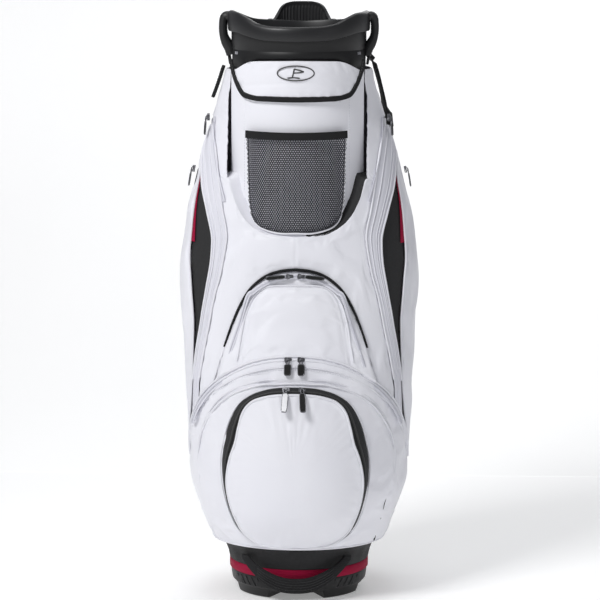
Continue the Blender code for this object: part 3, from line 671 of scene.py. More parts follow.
def on_bridge(flat, offset):
    """World points of flat (distance round the bag, height) points on the bridge panel."""
    angle = np.degrees(flat[..., 0] / BRIDGE_ARC)
    return polar(bridge_radius(angle) + offset, angle, flat[..., 1])


def inset(flat, amount):
    """A flat open path moved to its left by that amount."""
    return flat + amount * left_of(flat)


def left_of(flat):
    """Unit vectors to the left of a flat open path."""
    way = unit(np.gradient(flat, axis=0))
    return np.stack([-way[:, 1], way[:, 0]], -1)


def hanging_outline(span, heights, floor, count):
    """An open outline on the bridge: down the left side, along the floor and up the right."""
    heights = np.array(heights)
    side = np.stack([np.radians(span(heights)) * BRIDGE_ARC, heights], -1)
    return through(np.concatenate([side * [-1, 1], floor, side[::-1]]), count)


FLAP_LOW = 0.7826


def make_flap():
    """The top flap with its bound edge and a plain stitched emblem."""
    def fold(angle, z):
        crest = 0.8060 + 0.006 * np.cos(np.radians(angle * 2.2))
        line = np.exp(-((z - crest) / 0.0042) ** 2)
        swell = 0.0011 * np.sin(np.radians(angle * 3.1) + 0.6) * smooth_step(z, 0.785, 0.80)
        return bridge_radius(angle) + 0.0046 - 0.0011 * line + swell * smooth_step(0.84 - z, 0, 0.01)

    panel("flap", lambda z: (-flap_span(z), flap_span(z)),
          lambda angle: (FLAP_LOW, collar_edge(np.abs(angle)) - 0.0020),
          fold, WHITE, 110, 60, roll=0.0002, wrinkle=0.0007, thickness=0.0016,
          cloth={"growth": 0.012, "push": 0.5, "most_out": 0.002, "most_in": 0.0008},
          body="flap", replaces=["cover_flap"])
    floor = [(x, FLAP_LOW + 0.0014 * (x / 0.07) ** 2) for x in (-0.066, -0.045, 0, 0.045, 0.066)]
    heights = [0.8440, 0.8300, 0.8150, 0.8030, 0.7945, 0.7880]
    outline = hanging_outline(flap_span, heights, floor, 160)
    swept("flap_binding", [on_bridge(inset(outline, 0.0040), 0.0046)], flat_section(0.0086, 0.0030),
          BINDING, "black_fabric", "flap")
    stitches("flap_binding_stitches", [on_bridge(inset(outline, 0.0072), 0.0062)], BLACK_THREAD,
             "flap")
    make_emblem()


def make_emblem():
    """A generic stitched mark: a flag on its pin inside an oval."""
    middle, half_wide, half_high = 0.8270, 0.0275, 0.0112
    turn = np.linspace(0, 2 * math.pi, 72, endpoint=False)
    oval = np.stack([half_wide * np.cos(turn), middle + half_high * np.sin(turn)], -1)
    lift = 0.0068
    cord = flat_section(0.0019, 0.0010)
    parts = [sweep_parts(on_bridge(oval, lift), cord, closed=True)]
    strokes = [[(-0.0050, -0.0070), (-0.0035, 0.0), (-0.0020, 0.0070)],
               [(-0.0020, 0.0066), (0.0060, 0.0046), (0.0120, 0.0024)],
               [(0.0120, 0.0024), (0.0050, 0.0010), (-0.0032, 0.0004)],
               [(-0.0120, -0.0072), (-0.0040, -0.0066), (0.0060, -0.0074)]]
    for stroke in strokes:
        flat = through(np.array(stroke) + [0, middle], 14)
        parts.append(sweep_parts(on_bridge(flat, lift), cord))
    add_parts("flap_emblem", parts, BLACK_THREAD, "flap")


def make_net():
    """The mesh pocket: a real net of six-sided holes, with a bound hem and an elastic top."""
    pitch, low, high = 0.0036, 0.5830, 0.7265
    rise = pitch * math.sqrt(3) / 2
    points, faces = [], []
    for row in range(int((high - low) / rise) + 1):
        z = low + row * rise
        half = math.radians(float(mesh_span(np.array(z)))) * BRIDGE_ARC - 0.0012
        for column in range(-30, 31):
            s = column * pitch + (row % 2) * pitch / 2
            if abs(s) > half:
                continue
            start = len(points)
            for size in (1.0, 0.60):
                for k in range(6):
                    turn = math.radians(60 * k + 30)
                    reach = pitch / math.sqrt(3) * size
                    points.append((s + reach * math.cos(turn), z + reach * math.sin(turn)))
            for k in range(6):
                after = (k + 1) % 6
                faces.append((start + k, start + after, start + 6 + after, start + 6 + k))
    flat = np.array(points)
    sag = 0.0082 + 0.0010 * np.cos(flat[:, 0] / 0.08 * 1.5)
    sag = sag - 0.004 * smooth_step(0.60 - flat[:, 1], 0, 0.02)
    bed = on_bridge(flat, 0.0)
    net = add_mesh("pocket_net", bed + (on_bridge(flat, 1.0) - bed) * sag[:, None], faces, flat,
                   NET)
    solidify(net, 0.0004)
    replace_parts(net, "mesh_pocket")
    heights = [0.7270, 0.7000, 0.6600, 0.6300, 0.6080, 0.5950, 0.5865]
    floor = [(x, 0.5806) for x in (-0.026, 0, 0.026)]
    outline = hanging_outline(mesh_span, heights, floor, 190)
    swept("net_hem", [on_bridge(inset(outline, 0.0006), 0.0058)], flat_section(0.0030, 0.0048),
          PIPING, "white_fabric")
    swept("net_tape", [on_bridge(inset(outline, 0.0028), 0.0082)], flat_section(0.0016, 0.0008),
          NET, "pocket_mesh")
    z = 0.7320 - 0.0015 * np.cos(np.linspace(-1, 1, 90) * math.pi / 2)
    s = np.linspace(-0.0800, 0.0800, 90)
    band = on_bridge(np.stack([s, z], -1), 0.0086)
    elastic = swept("net_elastic", [band], flat_section(0.0118, 0.0022), BINDING, "webbing")
    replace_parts(elastic, "mesh_elastic_band")
    stitches("net_elastic_stitches", [band + [0, 0, h] for h in (-0.0042, 0.0042)], BLACK_THREAD)


def zip_teeth(name, path, width, pitch=0.0020, material=THREAD):
    """A coil zip's teeth along a path."""
    total = arc_lengths(path)
    fine = np.arange(0, total[-1], pitch)
    line = np.stack([np.interp(fine, total, path[:, k]) for k in range(3)], -1)
    parts = []
    for at, tangent, side, out in zip(line, *frames_along(line)):
        ring = []
        for across in (-1, -0.55, 0.55, 1):
            middle = at + side * width / 2 * across
            crown = 0.0002 if abs(across) == 1 else 0.0011
            for step, lift in ((-0.34, crown), (0.34, crown), (0.34, -0.0004), (-0.34, -0.0004)):
                ring.append(middle + tangent * pitch * step + out * lift)
        parts.append(block(ring))
    add_parts(name, parts, material)


def make_chest():
    """The smooth chest panel between the two S-shaped side pockets."""
    def span(z):
        edge = inner_zip(z) - 0.4
        return -edge, edge

    def reach(angle):
        under = np.maximum(upper_arch(np.abs(angle)), lower_arch(np.abs(angle)) - TUCK)
        return under + 0.0006, bridge_edge(np.abs(angle)) + 0.003

    def face(angle, z):
        seam = np.exp(-(angle / 0.5) ** 2)
        return tucked(hull_radius(angle, z) - 0.0009 * seam, angle, z)

    panel("chest", span, reach, face, WHITE, 150, 60, roll=0.0016, roll_reach=0.006,
          pucker=0.00012, wrinkle=0.0006,
          cloth={"growth": 0.010, "push": 0.5, "most_out": 0.0022, "most_in": 0.0010},
          replaces=["chest_panel"])
    z = np.linspace(0.532, 0.570, 20)
    rows = [polar(hull_radius(angle, z) + 0.0001, angle, z) for angle in (-1.2, 1.2)]
    stitches("chest_seam_stitches", rows, THREAD)


def upper_radius(angle, z):
    """The upper pocket swells out from its arch."""
    under = upper_arch(np.abs(angle)) - z
    return hull_radius(angle, z) + 0.008 * np.sin(math.pi / 2 * np.clip(under / 0.060, 0, 1))


UPPER_FACE_TOP = 0.5015
upper_face_width = smooth_curve([(0.377, 0.0868), (0.405, 0.0815), (0.440, 0.0760), (0.460, 0.0718),
                                 (0.476, 0.0665), (0.487, 0.0595), (0.495, 0.0505), (0.4995, 0.0420),
                                 (UPPER_FACE_TOP, 0.0300)])


def front_outline(width, low, high, count):
    """An open outline of (x, z) points: up the left side, over the top and down the right."""
    z = low + (high - low) * np.sin(np.linspace(0, math.pi / 2, 26))
    side = np.stack([-width(z), z], -1)
    return through(np.concatenate([side, (side * [-1, 1])[::-1]]), count)


def make_upper_pocket():
    """The upper pocket with its raised face."""
    def inset_of(angle, z):
        x = np.abs(upper_radius(angle, z) * np.sin(np.radians(angle)))
        return np.minimum(upper_face_width(z) - x, UPPER_FACE_TOP - z)

    def face(angle, z):
        radius, inside = upper_radius(angle, z), inset_of(angle, z)
        groove = np.exp(-(inside / 0.0018) ** 2)
        return tucked(radius + 0.0022 * smooth_step(inside, 0, 0.014) - 0.0012 * groove, angle, z)

    panel("upper_pocket_shell", lambda z: (-47.0, 47.0),
          lambda angle: (lower_arch(np.abs(angle)) - TUCK, upper_arch(np.abs(angle)) - 0.0006),
          face, WHITE, 130, 90, roll=0.0016, roll_reach=0.006, pucker=0.0003,
          wrinkle=0.0007, cloth={"growth": 0.014, "push": 0.5, "most_out": 0.003, "most_in": 0.0010},
          seams=lambda angle, z: np.abs(inset_of(angle, z)) < 0.0018, replaces=["upper_pocket"])
    piping = on_front(front_outline(upper_face_width, 0.3860, UPPER_FACE_TOP, 160), 0.0006,
                      upper_radius)
    tube("upper_face_piping", [piping], 0.0015)
    middle = np.array([0, AXIS_Y, 0.4355])
    within = piping * 0.965 + middle * 0.035 + [0, -0.0016, 0]
    stitches("upper_face_stitches", [within], THREAD)
    angle = 43.5 * np.sin(np.linspace(-1, 1, 160) * math.pi / 2)
    height = upper_arch(np.abs(angle))
    arch = polar(hull_radius(angle, height) + 0.0016, angle, height)
    taper = 1.25 - 0.85 * np.abs(np.linspace(-1, 1, len(arch))) ** 2.2
    swept("upper_arch_piping", [arch], flat_section(0.0038, 0.0036), BINDING, "black_fabric",
          scale=(taper, 1))


def track_path(centre, radius, lean, half, count=120):
    """Points on a slider's round track, this many degrees to each side of its top."""
    turn = np.radians(np.linspace(-half, half, count))[:, None]
    up = np.array([0, -math.sin(math.radians(lean)), math.cos(math.radians(lean))])
    right = np.array([1.0, 0, 0])
    return np.array(centre) + AXIS + radius * (right * np.sin(turn) + up * np.cos(turn))


def make_front_zips():
    """Tape and teeth where the front sliders run."""
    middle = track_path((0, -0.1268, 0.4160), 0.1000, 0.2, 48, 15)
    foot_angle, foot_z = np.array([39.5, 37.2, 35.0]), np.array([0.375, 0.410, 0.440])
    foot = polar(upper_radius(foot_angle, foot_z), foot_angle, foot_z)
    upper = through(np.concatenate([foot * [-1, 1, 1], middle, foot[::-1]]), 150)
    lower = track_path((0, -0.0620, 0.2494), 0.1680, 33, 78)
    # The zip tapes are made in the darker copy of the white cloth: painted shade.
    for name, path, wide in (("upper", upper, 0.0075), ("lower", lower, 0.0085)):
        outward = unit(from_axis(path))
        bed = path - outward * 0.0007
        swept(f"{name}_zip_tape", [bed], flat_section(wide, 0.0012), SHADED_WHITE, "white_fabric")
        zip_teeth(f"{name}_zip_teeth", bed + outward * 0.0004, 0.0030, 0.0018)


BALL_ARCH_HALF = 0.1535
ball_arch = smooth_curve([(0, 0.3535), (0.05, 0.351), (0.09, 0.337), (0.122, 0.312),
                          (0.145, 0.273), (BALL_ARCH_HALF, 0.235)])
BALL_ARCH_FOOT = [(BALL_ARCH_HALF, 0.235), (0.152, 0.200), (0.146, 0.150), (0.129, 0.087)]


def ball_arch_outline(offset):
    """The seam round the ball pocket as an (x, z) path, its top raised by offset."""
    x = np.array([0.0, 0.025, 0.05, 0.09, 0.122, 0.145])
    top = np.stack([x, ball_arch(x) + offset], -1)
    right = np.concatenate([top[1:], np.array(BALL_ARCH_FOOT)])
    left = (right * [-1, 1])[::-1]
    return through(np.concatenate([left, top[:1], right]), 260)


def lower_radius(angle, z):
    """The lower pocket stands out towards the middle of its arch."""
    under = lower_arch(np.abs(angle)) - z
    middle = 1 - smooth_step(np.abs(angle), 16, 62)
    return hull_radius(angle, z) + 0.0095 * middle * (1 - smooth_step(under, 0.004, 0.060))


WELT_DROPS = (0.0060, 0.0165)      # how far below the lower arch the band's two welts run


def make_lower_pocket():
    """The big lower pocket, whose top edge is one long arch."""
    def under_ball_arch(angle, z):
        x = np.abs(lower_radius(angle, z) * np.sin(np.radians(angle)))
        return ball_arch(np.minimum(x, BALL_ARCH_HALF)) - z, x

    def sewn(angle, z):
        under, x = under_ball_arch(angle, z)
        drop = lower_arch(np.abs(angle)) - z
        at_welt = np.minimum.reduce([np.abs(drop - welt) for welt in WELT_DROPS]) < 0.0016
        return ((np.abs(under) < 0.0018) & (x < 0.150)) | at_welt

    def face(angle, z):
        radius = lower_radius(angle, z)
        under, x = under_ball_arch(angle, z)
        groove = np.exp(-((under + 0.0035) / 0.0020) ** 2) * (x < 0.153)
        return radius - 0.0012 * groove + 0.0012 * smooth_step(under, 0.0, 0.02) * (x < 0.15)

    panel("lower_pocket_shell", lambda z: (-101.0, 101.0),
          lambda angle: (HEM, lower_arch(np.abs(angle)) - 0.0003),
          face, WHITE, 220, 110, roll=0.0016, roll_reach=0.006, pucker=0.0002,
          wrinkle=0.0012, cloth={"growth": 0.012, "push": 0.6, "most_out": 0.004, "most_in": 0.001},
          seams=sewn, replaces=["lower_pocket"])
    tube("lower_arch_piping", [along_arch(0.0, 88, 200, 0.0004)], 0.0019)
    tube("ball_arch_piping", [on_front(ball_arch_outline(0.0), 0.0004, lower_radius)], 0.0020)
    tube("ball_arch_welt", [on_front(ball_arch_outline(0.0065), 0.0, lower_radius)], 0.0010)
    tube("lower_band_welts", [along_arch(drop, 80, 190, 0.0003) for drop in WELT_DROPS], 0.0010)
    stitches("lower_band_stitches", [along_arch(0.0200, 78, 190, 0.0003)], THREAD)
    closing = np.array([(0.1392, 0.166), (0.1352, 0.150), (0.1290, 0.125), (0.1235, 0.105),
                        (0.1195, 0.090)])
    wedge = on_front(through(closing, 40), 0.0022, lower_radius)
    taper = 0.4 + 1.2 * np.linspace(0, 1, 40)
    swept("lower_pocket_closing", [wedge], flat_section(0.0022, 0.0016), BINDING, "black_fabric",
          scale=(taper, 1))
    patch = through([(-0.009, 0.0915), (0.0, 0.0910), (0.009, 0.0915)], 20)
    swept("hem_patch", [on_front(patch, 0.0012)], flat_section(0.0075, 0.0012), PIPING,
          "white_fabric")


BALL_BASE = [(0.0, 0.3490), (0.030, 0.3475), (0.052, 0.3420), (0.0675, 0.3350), (0.0820, 0.3240),
             (0.0925, 0.3090), (0.1025, 0.2860), (0.1095, 0.2587), (0.1138, 0.2313),
             (0.1135, 0.2038), (0.1090, 0.1724), (0.1000, 0.1409), (0.0870, 0.1153),
             (0.0620, 0.0965), (0.030, 0.0895), (0.0, 0.0885)]
BALL_FACE = [(0.0, 0.3395), (0.026, 0.3385), (0.0470, 0.3345), (0.0650, 0.3270), (0.0785, 0.3110),
             (0.0860, 0.2860), (0.0910, 0.2626), (0.0990, 0.2391), (0.1040, 0.2156),
             (0.1052, 0.1920), (0.1010, 0.1645), (0.0920, 0.1370), (0.0800, 0.1143),
             (0.0570, 0.0970), (0.026, 0.0915), (0.0, 0.0908)]
BALL_CENTRE = np.array([0.0, 0.2120])
FORWARD = np.array([0.0, -1.0, 0.0])


def closed_outline(half):
    """A closed mirror-symmetric outline from the (x, z) points of its right half, top to bottom."""
    right = np.array(half)
    return through(np.concatenate([right, (right[1:-1] * [-1, 1])[::-1]]), 200, closed=True)


def lower_at_foot(height, z):
    """How far the ball pocket stands out, which is less towards its foot."""
    return height - 0.0080 * smooth_step(0.16 - z, 0.0, 0.07)


def make_ball_wall(base, rim):
    """The steep black wall that the zip runs in."""
    rows = 9
    share = np.linspace(0, 1, rows)[:, None, None]
    flat = base[None] + (rim[None] - base[None]) * share
    out = 0.0030 + (lower_at_foot(0.0170, flat[..., 1]) - 0.0040) * share[..., 0] ** 0.8
    wall = on_front(flat) + FORWARD * out[..., None]
    gusset = add_mesh("ball_zip_wall", wall, grid_faces(rows, len(base), wrap=True, flip=True),
                      measured(wall), BLACK)
    solidify(gusset, 0.0012)


def make_ball_face(rim):
    """The padded dome: rings of points that close in on one point at the hub."""
    rings, size = 34, len(rim)
    share = eased(rings, 0.55)[:, None, None]
    flat = rim[None] + (BALL_CENTRE[None, None] - rim[None]) * share
    inward = np.linalg.norm(flat - rim[None], axis=-1)
    dome = 0.0105 * (1 - (1 - share[..., 0]) ** 2.2)
    gather = np.exp(-inward / 0.022) * smooth_step(inward, 0, 0.004)
    turn = np.arange(size) / size * 2 * math.pi
    lift = lower_at_foot(0.0185, flat[..., 1]) + dome - rolled_edge(inward, 0.0016, 0.006)
    lift = lift + 0.00035 * gather * np.sin(turn * 46 + 1.5 * np.sin(turn * 7))[None]
    face = on_front(flat) + FORWARD * lift[..., None]
    hub = (rings - 1) * size
    last = hub - size
    faces = grid_faces(rings - 1, size, wrap=True, flip=True)
    faces += [(last + (i + 1) % size, last + i, hub) for i in range(size)]
    points = np.concatenate([face[:-1].reshape(-1, 3), face[-1, :1]])
    uv = np.concatenate([face[:-1, :, [0, 2]].reshape(-1, 2), [[0.0, BALL_CENTRE[1]]]])
    front = add_mesh("ball_pocket_face", points, faces, uv, WHITE)
    settles(front, np.arange(size), growth=0.012, push=1.2, most_out=0.006, most_in=0.001, hub=hub)
    solidify(front, 0.0014)
    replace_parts(front, "ball_pocket")


def make_ball_pocket():
    """The domed ball pocket: a steep black zip wall and a padded face."""
    base, rim = closed_outline(BALL_BASE), closed_outline(BALL_FACE)
    make_ball_wall(base, rim)
    make_ball_face(rim)
    rim_path = on_front(rim) + FORWARD * lower_at_foot(0.0186, rim[:, 1])[:, None]
    tube("ball_face_piping", [rim_path], 0.0021, closed=True)
    tube("ball_base_piping", [on_front(base, 0.0030)], 0.0013, closed=True)
    chain = base + (rim - base) * 0.55
    chain = np.roll(chain, len(chain) // 2, axis=0)
    chain = chain[chain[:, 1] > 0.17]
    zip_teeth("ball_zip_teeth", on_front(chain) + FORWARD * 0.0152, 0.0036, 0.0019, BLACK_THREAD)


def make_side(side, label):
    """One side of the bag: shoulder, S-shaped pocket, dark gusset, accent and rear pocket."""
    panel(f"shoulder_{label}",
          lambda z: mirrored(side, hull_angle(0.1098 - 0.0045 * smooth_step(z, 0.785, 0.815), z),
                             np.minimum(np.where(z < 0.7525, inner_zip(z) - 0.6, 98), 98)),
          lambda angle: (0.6610, TOP_SEAM),
          hull_radius, WHITE, 60, 80, roll=0.0014, roll_reach=0.005,
          wrinkle=0.0008, pucker=0.0002,
          cloth={"growth": 0.016, "push": 0.4, "most_out": 0.003, "most_in": 0.001},
          replaces=[f"shoulder_panel_{label}"])

    def across(z, share):
        return inner_zip(z) + (gusset_front(z) - inner_zip(z)) * share

    def band_face(angle, z):
        share = (np.abs(angle) - inner_zip(z)) / np.maximum(gusset_front(z) - inner_zip(z), 1)
        grooves = sum(np.exp(-((share - at) / 0.035) ** 2) for at in (0.34, 0.70))
        full = 0.0014 * np.sin(math.pi * np.clip(share, 0, 1))
        return tucked(hull_radius(angle, z) - 0.0016 * grooves + full, angle, z)

    # The band is made in the darker copy of the white cloth: painted shade.
    panel(f"side_pocket_{label}_shell",
          lambda z: mirrored(side, inner_zip(z) + 0.2, gusset_front(z) - 0.2),
          lambda angle: (lower_arch(np.abs(angle)) - TUCK, 0.7400),
          band_face, SHADED_WHITE, 44, 130, roll=0.0014, roll_reach=0.004,
          wrinkle=0.0004, pucker=0.0001, replaces=[f"side_pocket_{label}"])
    tube(f"side_inner_piping_{label}", [along_seam(inner_zip, 0.350, 0.7500, 130, side, 0.0002)],
         0.0017)
    tube(f"side_outer_piping_{label}", [along_seam(gusset_front, 0.345, 0.7380, 130, side, 0.0002)],
         0.0018)
    tube(f"side_welt_{label}",
         [along_seam(lambda z: across(z, share), 0.365, 0.7300, 130, side, 0.0009)
          for share in (0.27, 0.63, 0.77)], 0.0009)
    chain = along_seam(lambda z: across(z, 0.34), 0.365, 0.7300, 150, side, -0.0008)
    zip_teeth(f"side_zip_teeth_{label}", chain, 0.0032, 0.0018)
    panel(f"side_gusset_{label}_shell",
          lambda z: mirrored(side, gusset_front(z) + 0.2, gusset_back(z) - 0.3),
          lambda angle: (0.3150, 0.6750),
          lambda angle, z: hull_radius(angle, z) - 0.0022, BLACK, 40, 110,
          roll=0.0012, wrinkle=0.0010,
          cloth={"growth": 0.012, "push": 0.3, "most_out": 0.002, "most_in": 0.001},
          replaces=[f"side_gusset_{label}"])
    panel(f"side_accent_{label}",
          lambda z: mirrored(side, gusset_back(z) - 0.4 - 3.0 * np.clip((0.668 - z) / 0.112, 0, 1),
                             gusset_back(z) - 0.2),
          lambda angle: (0.560, 0.668),
          lambda angle, z: hull_radius(angle, z) - 0.0006, RED, 16, 60, roll=0.0006,
          wrinkle=0.0002, thickness=0.0010)
    panel(f"rear_pocket_{label}_shell",
          lambda z: mirrored(side, gusset_back(z) + 0.2, POCKET_BACK_ANGLE - 0.3),
          lambda angle: (HEM, TOP_SEAM),
          hull_radius, WHITE, 90, 140, roll=0.0018, wrinkle=0.0013, pucker=0.0003,
          cloth={"growth": 0.014, "push": 0.5, "most_out": 0.004, "most_in": 0.001},
          replaces=[f"rear_pocket_{label}"])
    tube(f"rear_front_piping_{label}",
         [along_seam(gusset_back, 0.232, 0.6900, 150, side, 0.0002)], 0.0017)
    back_edge = along_seam(lambda z: POCKET_BACK_ANGLE, 0.092, 0.826, 120, side, 0.0)
    tube(f"rear_back_piping_{label}", [back_edge], 0.0020, BINDING, "black_fabric")
    make_side_zips(side, label)


def make_side_zips(side, label):
    """Tape and teeth along the two straight zips of one side, lying on the shell."""
    for kind, top, foot, tape, slot, teeth in (
            ("side", (0.1400, -0.0180, 0.7525), (0.1250, -0.0880, 0.6300), SHADED_WHITE,
             "white_fabric", THREAD),
            ("rear", (0.1660, 0.0200, 0.6680), (0.1900, 0.0200, 0.5200), BLACK, "black_fabric",
             DARK_STEEL)):
        ends = np.array([top, foot]) * [side, 1, 1]
        track = ends[0] + (ends[1] - ends[0]) * np.linspace(0, 1.03, 60)[:, None]
        angle = np.degrees(np.arctan2(track[:, 0], -track[:, 1]))
        path = polar(hull_radius(angle, track[:, 2]) + 0.0003, angle, track[:, 2])
        swept(f"{kind}_zip_tape_{label}", [path], flat_section(0.0080, 0.0012), tape, slot)
        zip_teeth(f"{kind}_zip_teeth_{label}", path, 0.0032, material=teeth)


SETTLING_FRAMES = 12
MOST_SLIDE = 0.002        # how far the cloth may move along itself
HUB_CALM = (0.010, 0.090)  # nothing moves nearer to a dome's hub than the first, all past the second


def add_cloth(piece, seams, growth, push):
    """A cloth modifier in place of the piece's others, with the seams pinned."""
    held = piece.vertex_groups.new(name="seams")
    held.add([int(k) for k in seams], 1.0, "REPLACE")
    for modifier in piece.modifiers:
        modifier.show_viewport = False
    cloth = piece.modifiers.new("settle", "CLOTH")
    setting = cloth.settings
    setting.vertex_group_mass = "seams"
    setting.quality = 4
    setting.mass = 0.25
    setting.tension_stiffness = 12
    setting.compression_stiffness = 12
    setting.shear_stiffness = 5
    setting.bending_stiffness = 0.6
    setting.shrink_min = -growth
    setting.use_pressure = True
    setting.uniform_pressure_force = push
    setting.effector_weights.gravity = 0
    cloth.collision_settings.use_collision = False


def vertex_values(mesh, name):
    """A vertex attribute's values, one row of three for each vertex."""
    values = np.zeros(len(mesh.vertices) * 3, np.float32)
    mesh.vertices.foreach_get(name, values)
    return values.reshape(-1, 3)


def keep_within(piece, found, most_out, most_in, hub):
    """Moves the piece's points towards where the simulation left them, within the limits."""
    rest = vertex_values(piece.data, "co").astype(float)
    normal = vertex_values(piece.data, "normal")
    shift = found - rest
    out = np.sum(shift * normal, 1)
    kept = np.where(out > 0, most_out * np.tanh(out / most_out), most_in * np.tanh(out / most_in))
    slide = shift - normal * out[:, None]
    size = np.linalg.norm(slide, axis=1, keepdims=True)
    slide *= np.minimum(1, MOST_SLIDE / np.maximum(size, 1e-9))
    settled = slide + normal * kept[:, None]
    if hub is not None:
        away = np.linalg.norm(rest - rest[hub], axis=1)
        settled *= smooth_step(away, *HUB_CALM)[:, None]
    settled += rest
    piece.data.vertices.foreach_set("co", settled.astype(np.float32).ravel())
    piece.data.update()


def run_settling():
    """The cloth simulation of every marked panel at once, kept within its limits."""
    scene = bpy.context.scene
    for piece, seams, growth, push, *_ in SETTLING:
        add_cloth(piece, seams, growth, push)
    for frame_number in range(1, SETTLING_FRAMES + 1):
        scene.frame_set(frame_number)
    graph = bpy.context.evaluated_depsgraph_get()
    moved = [vertex_values(piece.evaluated_get(graph).data, "co").astype(float)
             for piece, *_ in SETTLING]
    scene.frame_set(1)
    for (piece, _, _, _, most_out, most_in, hub), found in zip(SETTLING, moved):
        piece.modifiers.remove(piece.modifiers["settle"])
        for modifier in piece.modifiers:
            modifier.show_viewport = True
        keep_within(piece, found, most_out, most_in, hub)


# ---------------------------------------------------------------------------------------------
# Moulded parts, straps and metal
# ---------------------------------------------------------------------------------------------

RING_UV_RADIUS = 0.11


def ring_mesh(name, section, material, stations, replaces=()):
    """A closed ring; section(angles) gives (station, point, 2) radii and heights, outside first."""
    angle = np.linspace(0, 360, stations, endpoint=False)
    made = section(angle)
    size = made.shape[1]
    rows = np.broadcast_to(made, (stations, size, 2))
    points = polar(rows[..., 0], angle[:, None], rows[..., 1])
    around = np.broadcast_to(np.radians(angle)[:, None] * RING_UV_RADIUS, rows.shape[:2])
    uv = np.stack([rows[..., 1] + rows[..., 0], around], -1)
    faces = tube_faces(stations, size, closed=True, flip=True)
    piece = add_mesh(name, points, faces, uv, material)
    if replaces:
        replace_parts(piece, *replaces)


def stacked(*rows):
    """Section points whose radius or height may be one number or one for each angle."""
    count = max(np.size(value) for row in rows for value in row)
    return np.stack([np.stack([np.broadcast_to(value, count) for value in row], -1)
                     for row in rows], 1)


def folded(angle):
    """Angles round the whole bag as 0 to 180 degrees from its front."""
    return np.minimum(angle % 360, 360 - angle % 360)


lip_base = smooth_curve([(0, 0.8739), (23, 0.8751), (44, 0.8811), (60, 0.8862), (90, 0.8870),
                         (120, 0.8840), (180, 0.8780)])


def make_collar():
    """The moulded collar with its lip, and pale strips where its small slots are: painted light for
    the bright backdrop seen through them.
    """
    def lower(angle):
        at = folded(angle)
        low, top = collar_edge(at), lip_base(at) + 0.004
        r, inner = COLLAR_RADIUS, LINER_RADIUS + 0.0004
        return stacked((r - 0.0006, low), (r, low + 0.0008), (r, 0.8575), (r - 0.0007, 0.8583),
                       (r - 0.0007, 0.8592), (r, 0.8600), (r, 0.8668), (r + 0.0010, 0.8680),
                       (r + 0.0012, top), (inner, top), (inner, low))

    def lip(angle):
        at = folded(angle)
        base, top = lip_base(at), lip_top(at)
        middle = (base + top) / 2
        r = LIP_RADIUS
        return stacked((r - 0.0030, base), (r - 0.0008, base + 0.0006), (r, base + 0.0024),
                       (r + 0.0006, middle), (r + 0.0001, top - 0.0050), (r - 0.0012, top - 0.0016),
                       (r - 0.0032, top - 0.0002), (r - 0.0056, top),
                       (LINER_RADIUS + 0.0022, top - 0.0006), (LINER_RADIUS + 0.0010, top - 0.0030),
                       (LINER_RADIUS + 0.0010, base))

    ring_mesh("collar_band", lower, PLASTIC, 200, replaces=["top_collar"])
    ring_mesh("collar_lip", lip, GLOSS_PLASTIC, 200)
    # The slots are not cut: pale thread-coloured strips paint the light seen through them.
    slots = [polar(COLLAR_RADIUS + 0.0002, side * (68 - 2.3 * k), np.linspace(0.8520, 0.8562, 6))
             for side, _ in SIDES for k in range(3)]
    swept("collar_slots", slots, flat_section(0.0010, 0.0008), THREAD, "black_plastic")


def lathe(name, profile, place):
    """A turned plastic piece: profile lists (radius, height) along +Z of place, from low to high."""
    segments = 40
    turn = np.linspace(0, 2 * math.pi, segments, endpoint=False)
    rings = np.array([[(r * math.cos(t), r * math.sin(t), h) for t in turn] for r, h in profile])
    flat = np.concatenate([rings.reshape(-1, 3), np.ones((rings.size // 3, 1))], 1)
    points = flat @ np.array(place).T[:, :3]
    faces = tube_faces(len(profile), segments, flip=True)
    add_mesh(name, points, faces, points[:, [0, 2]], PLASTIC)


def placed(origin, z_axis, x_axis=(0, 0, 1)):
    """A 4x4 placement at origin with that +Z, and +X as near as it can be to x_axis."""
    z = Vector(z_axis).normalized()
    x = Vector(x_axis)
    x = (x - z * x.dot(z)).normalized()
    made = Matrix((x, z.cross(x), z)).transposed().to_4x4()
    made.translation = Vector(origin)
    return made


def make_side_handles():
    """The two looped handles on the lip, ribbed inside, each over a knuckle on the collar."""
    path = [(0.1040, 0.9035), (0.1085, 0.9085), (0.1140, 0.9100), (0.1172, 0.9060), (0.1184, 0.8985),
            (0.1186, 0.8880), (0.1172, 0.8780), (0.1135, 0.8690), (0.1085, 0.8600), (0.1050, 0.8500)]
    for side, label in SIDES:
        line = through([(side * x, AXIS_Y, z) for x, z in path], 60)
        outward = line - np.array([side * 0.098, AXIS_Y, 0.878])
        share = np.linspace(0, 1, 60)
        wide = 1.12 - 0.24 * np.sin(math.pi * share)
        thick = 1.10 - 0.10 * smooth_step(share, 0.1, 0.35) + 0.30 * smooth_step(share, 0.55, 0.8)
        loop = swept(f"handle_{label}", [line], flat_section(0.030, 0.0125, 0.42), PLASTIC,
                     "black_plastic", outward=outward, scale=(wide, thick))
        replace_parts(loop, f"side_handle_{label}")
        inner = line - unit(outward) * 0.0060
        ribs = [np.array([inner[k] + [0, y, 0] for y in np.linspace(-0.0095, 0.0095, 6)])
                for k in range(12, 52, 4)]
        tube(f"handle_ribs_{label}", ribs, 0.0009, PLASTIC, "black_plastic")
        knuckle = placed((side * 0.1062, AXIS_Y - 0.002, 0.8430), (side, 0, -0.15))
        profile = [(0.0085, 0), (0.0088, 0.0030), (0.0078, 0.0042), (0.0040, 0.0044),
                   (0.0036, 0.0036), (0.0010, 0.0036)]
        lathe(f"handle_knuckle_{label}", profile, knuckle)


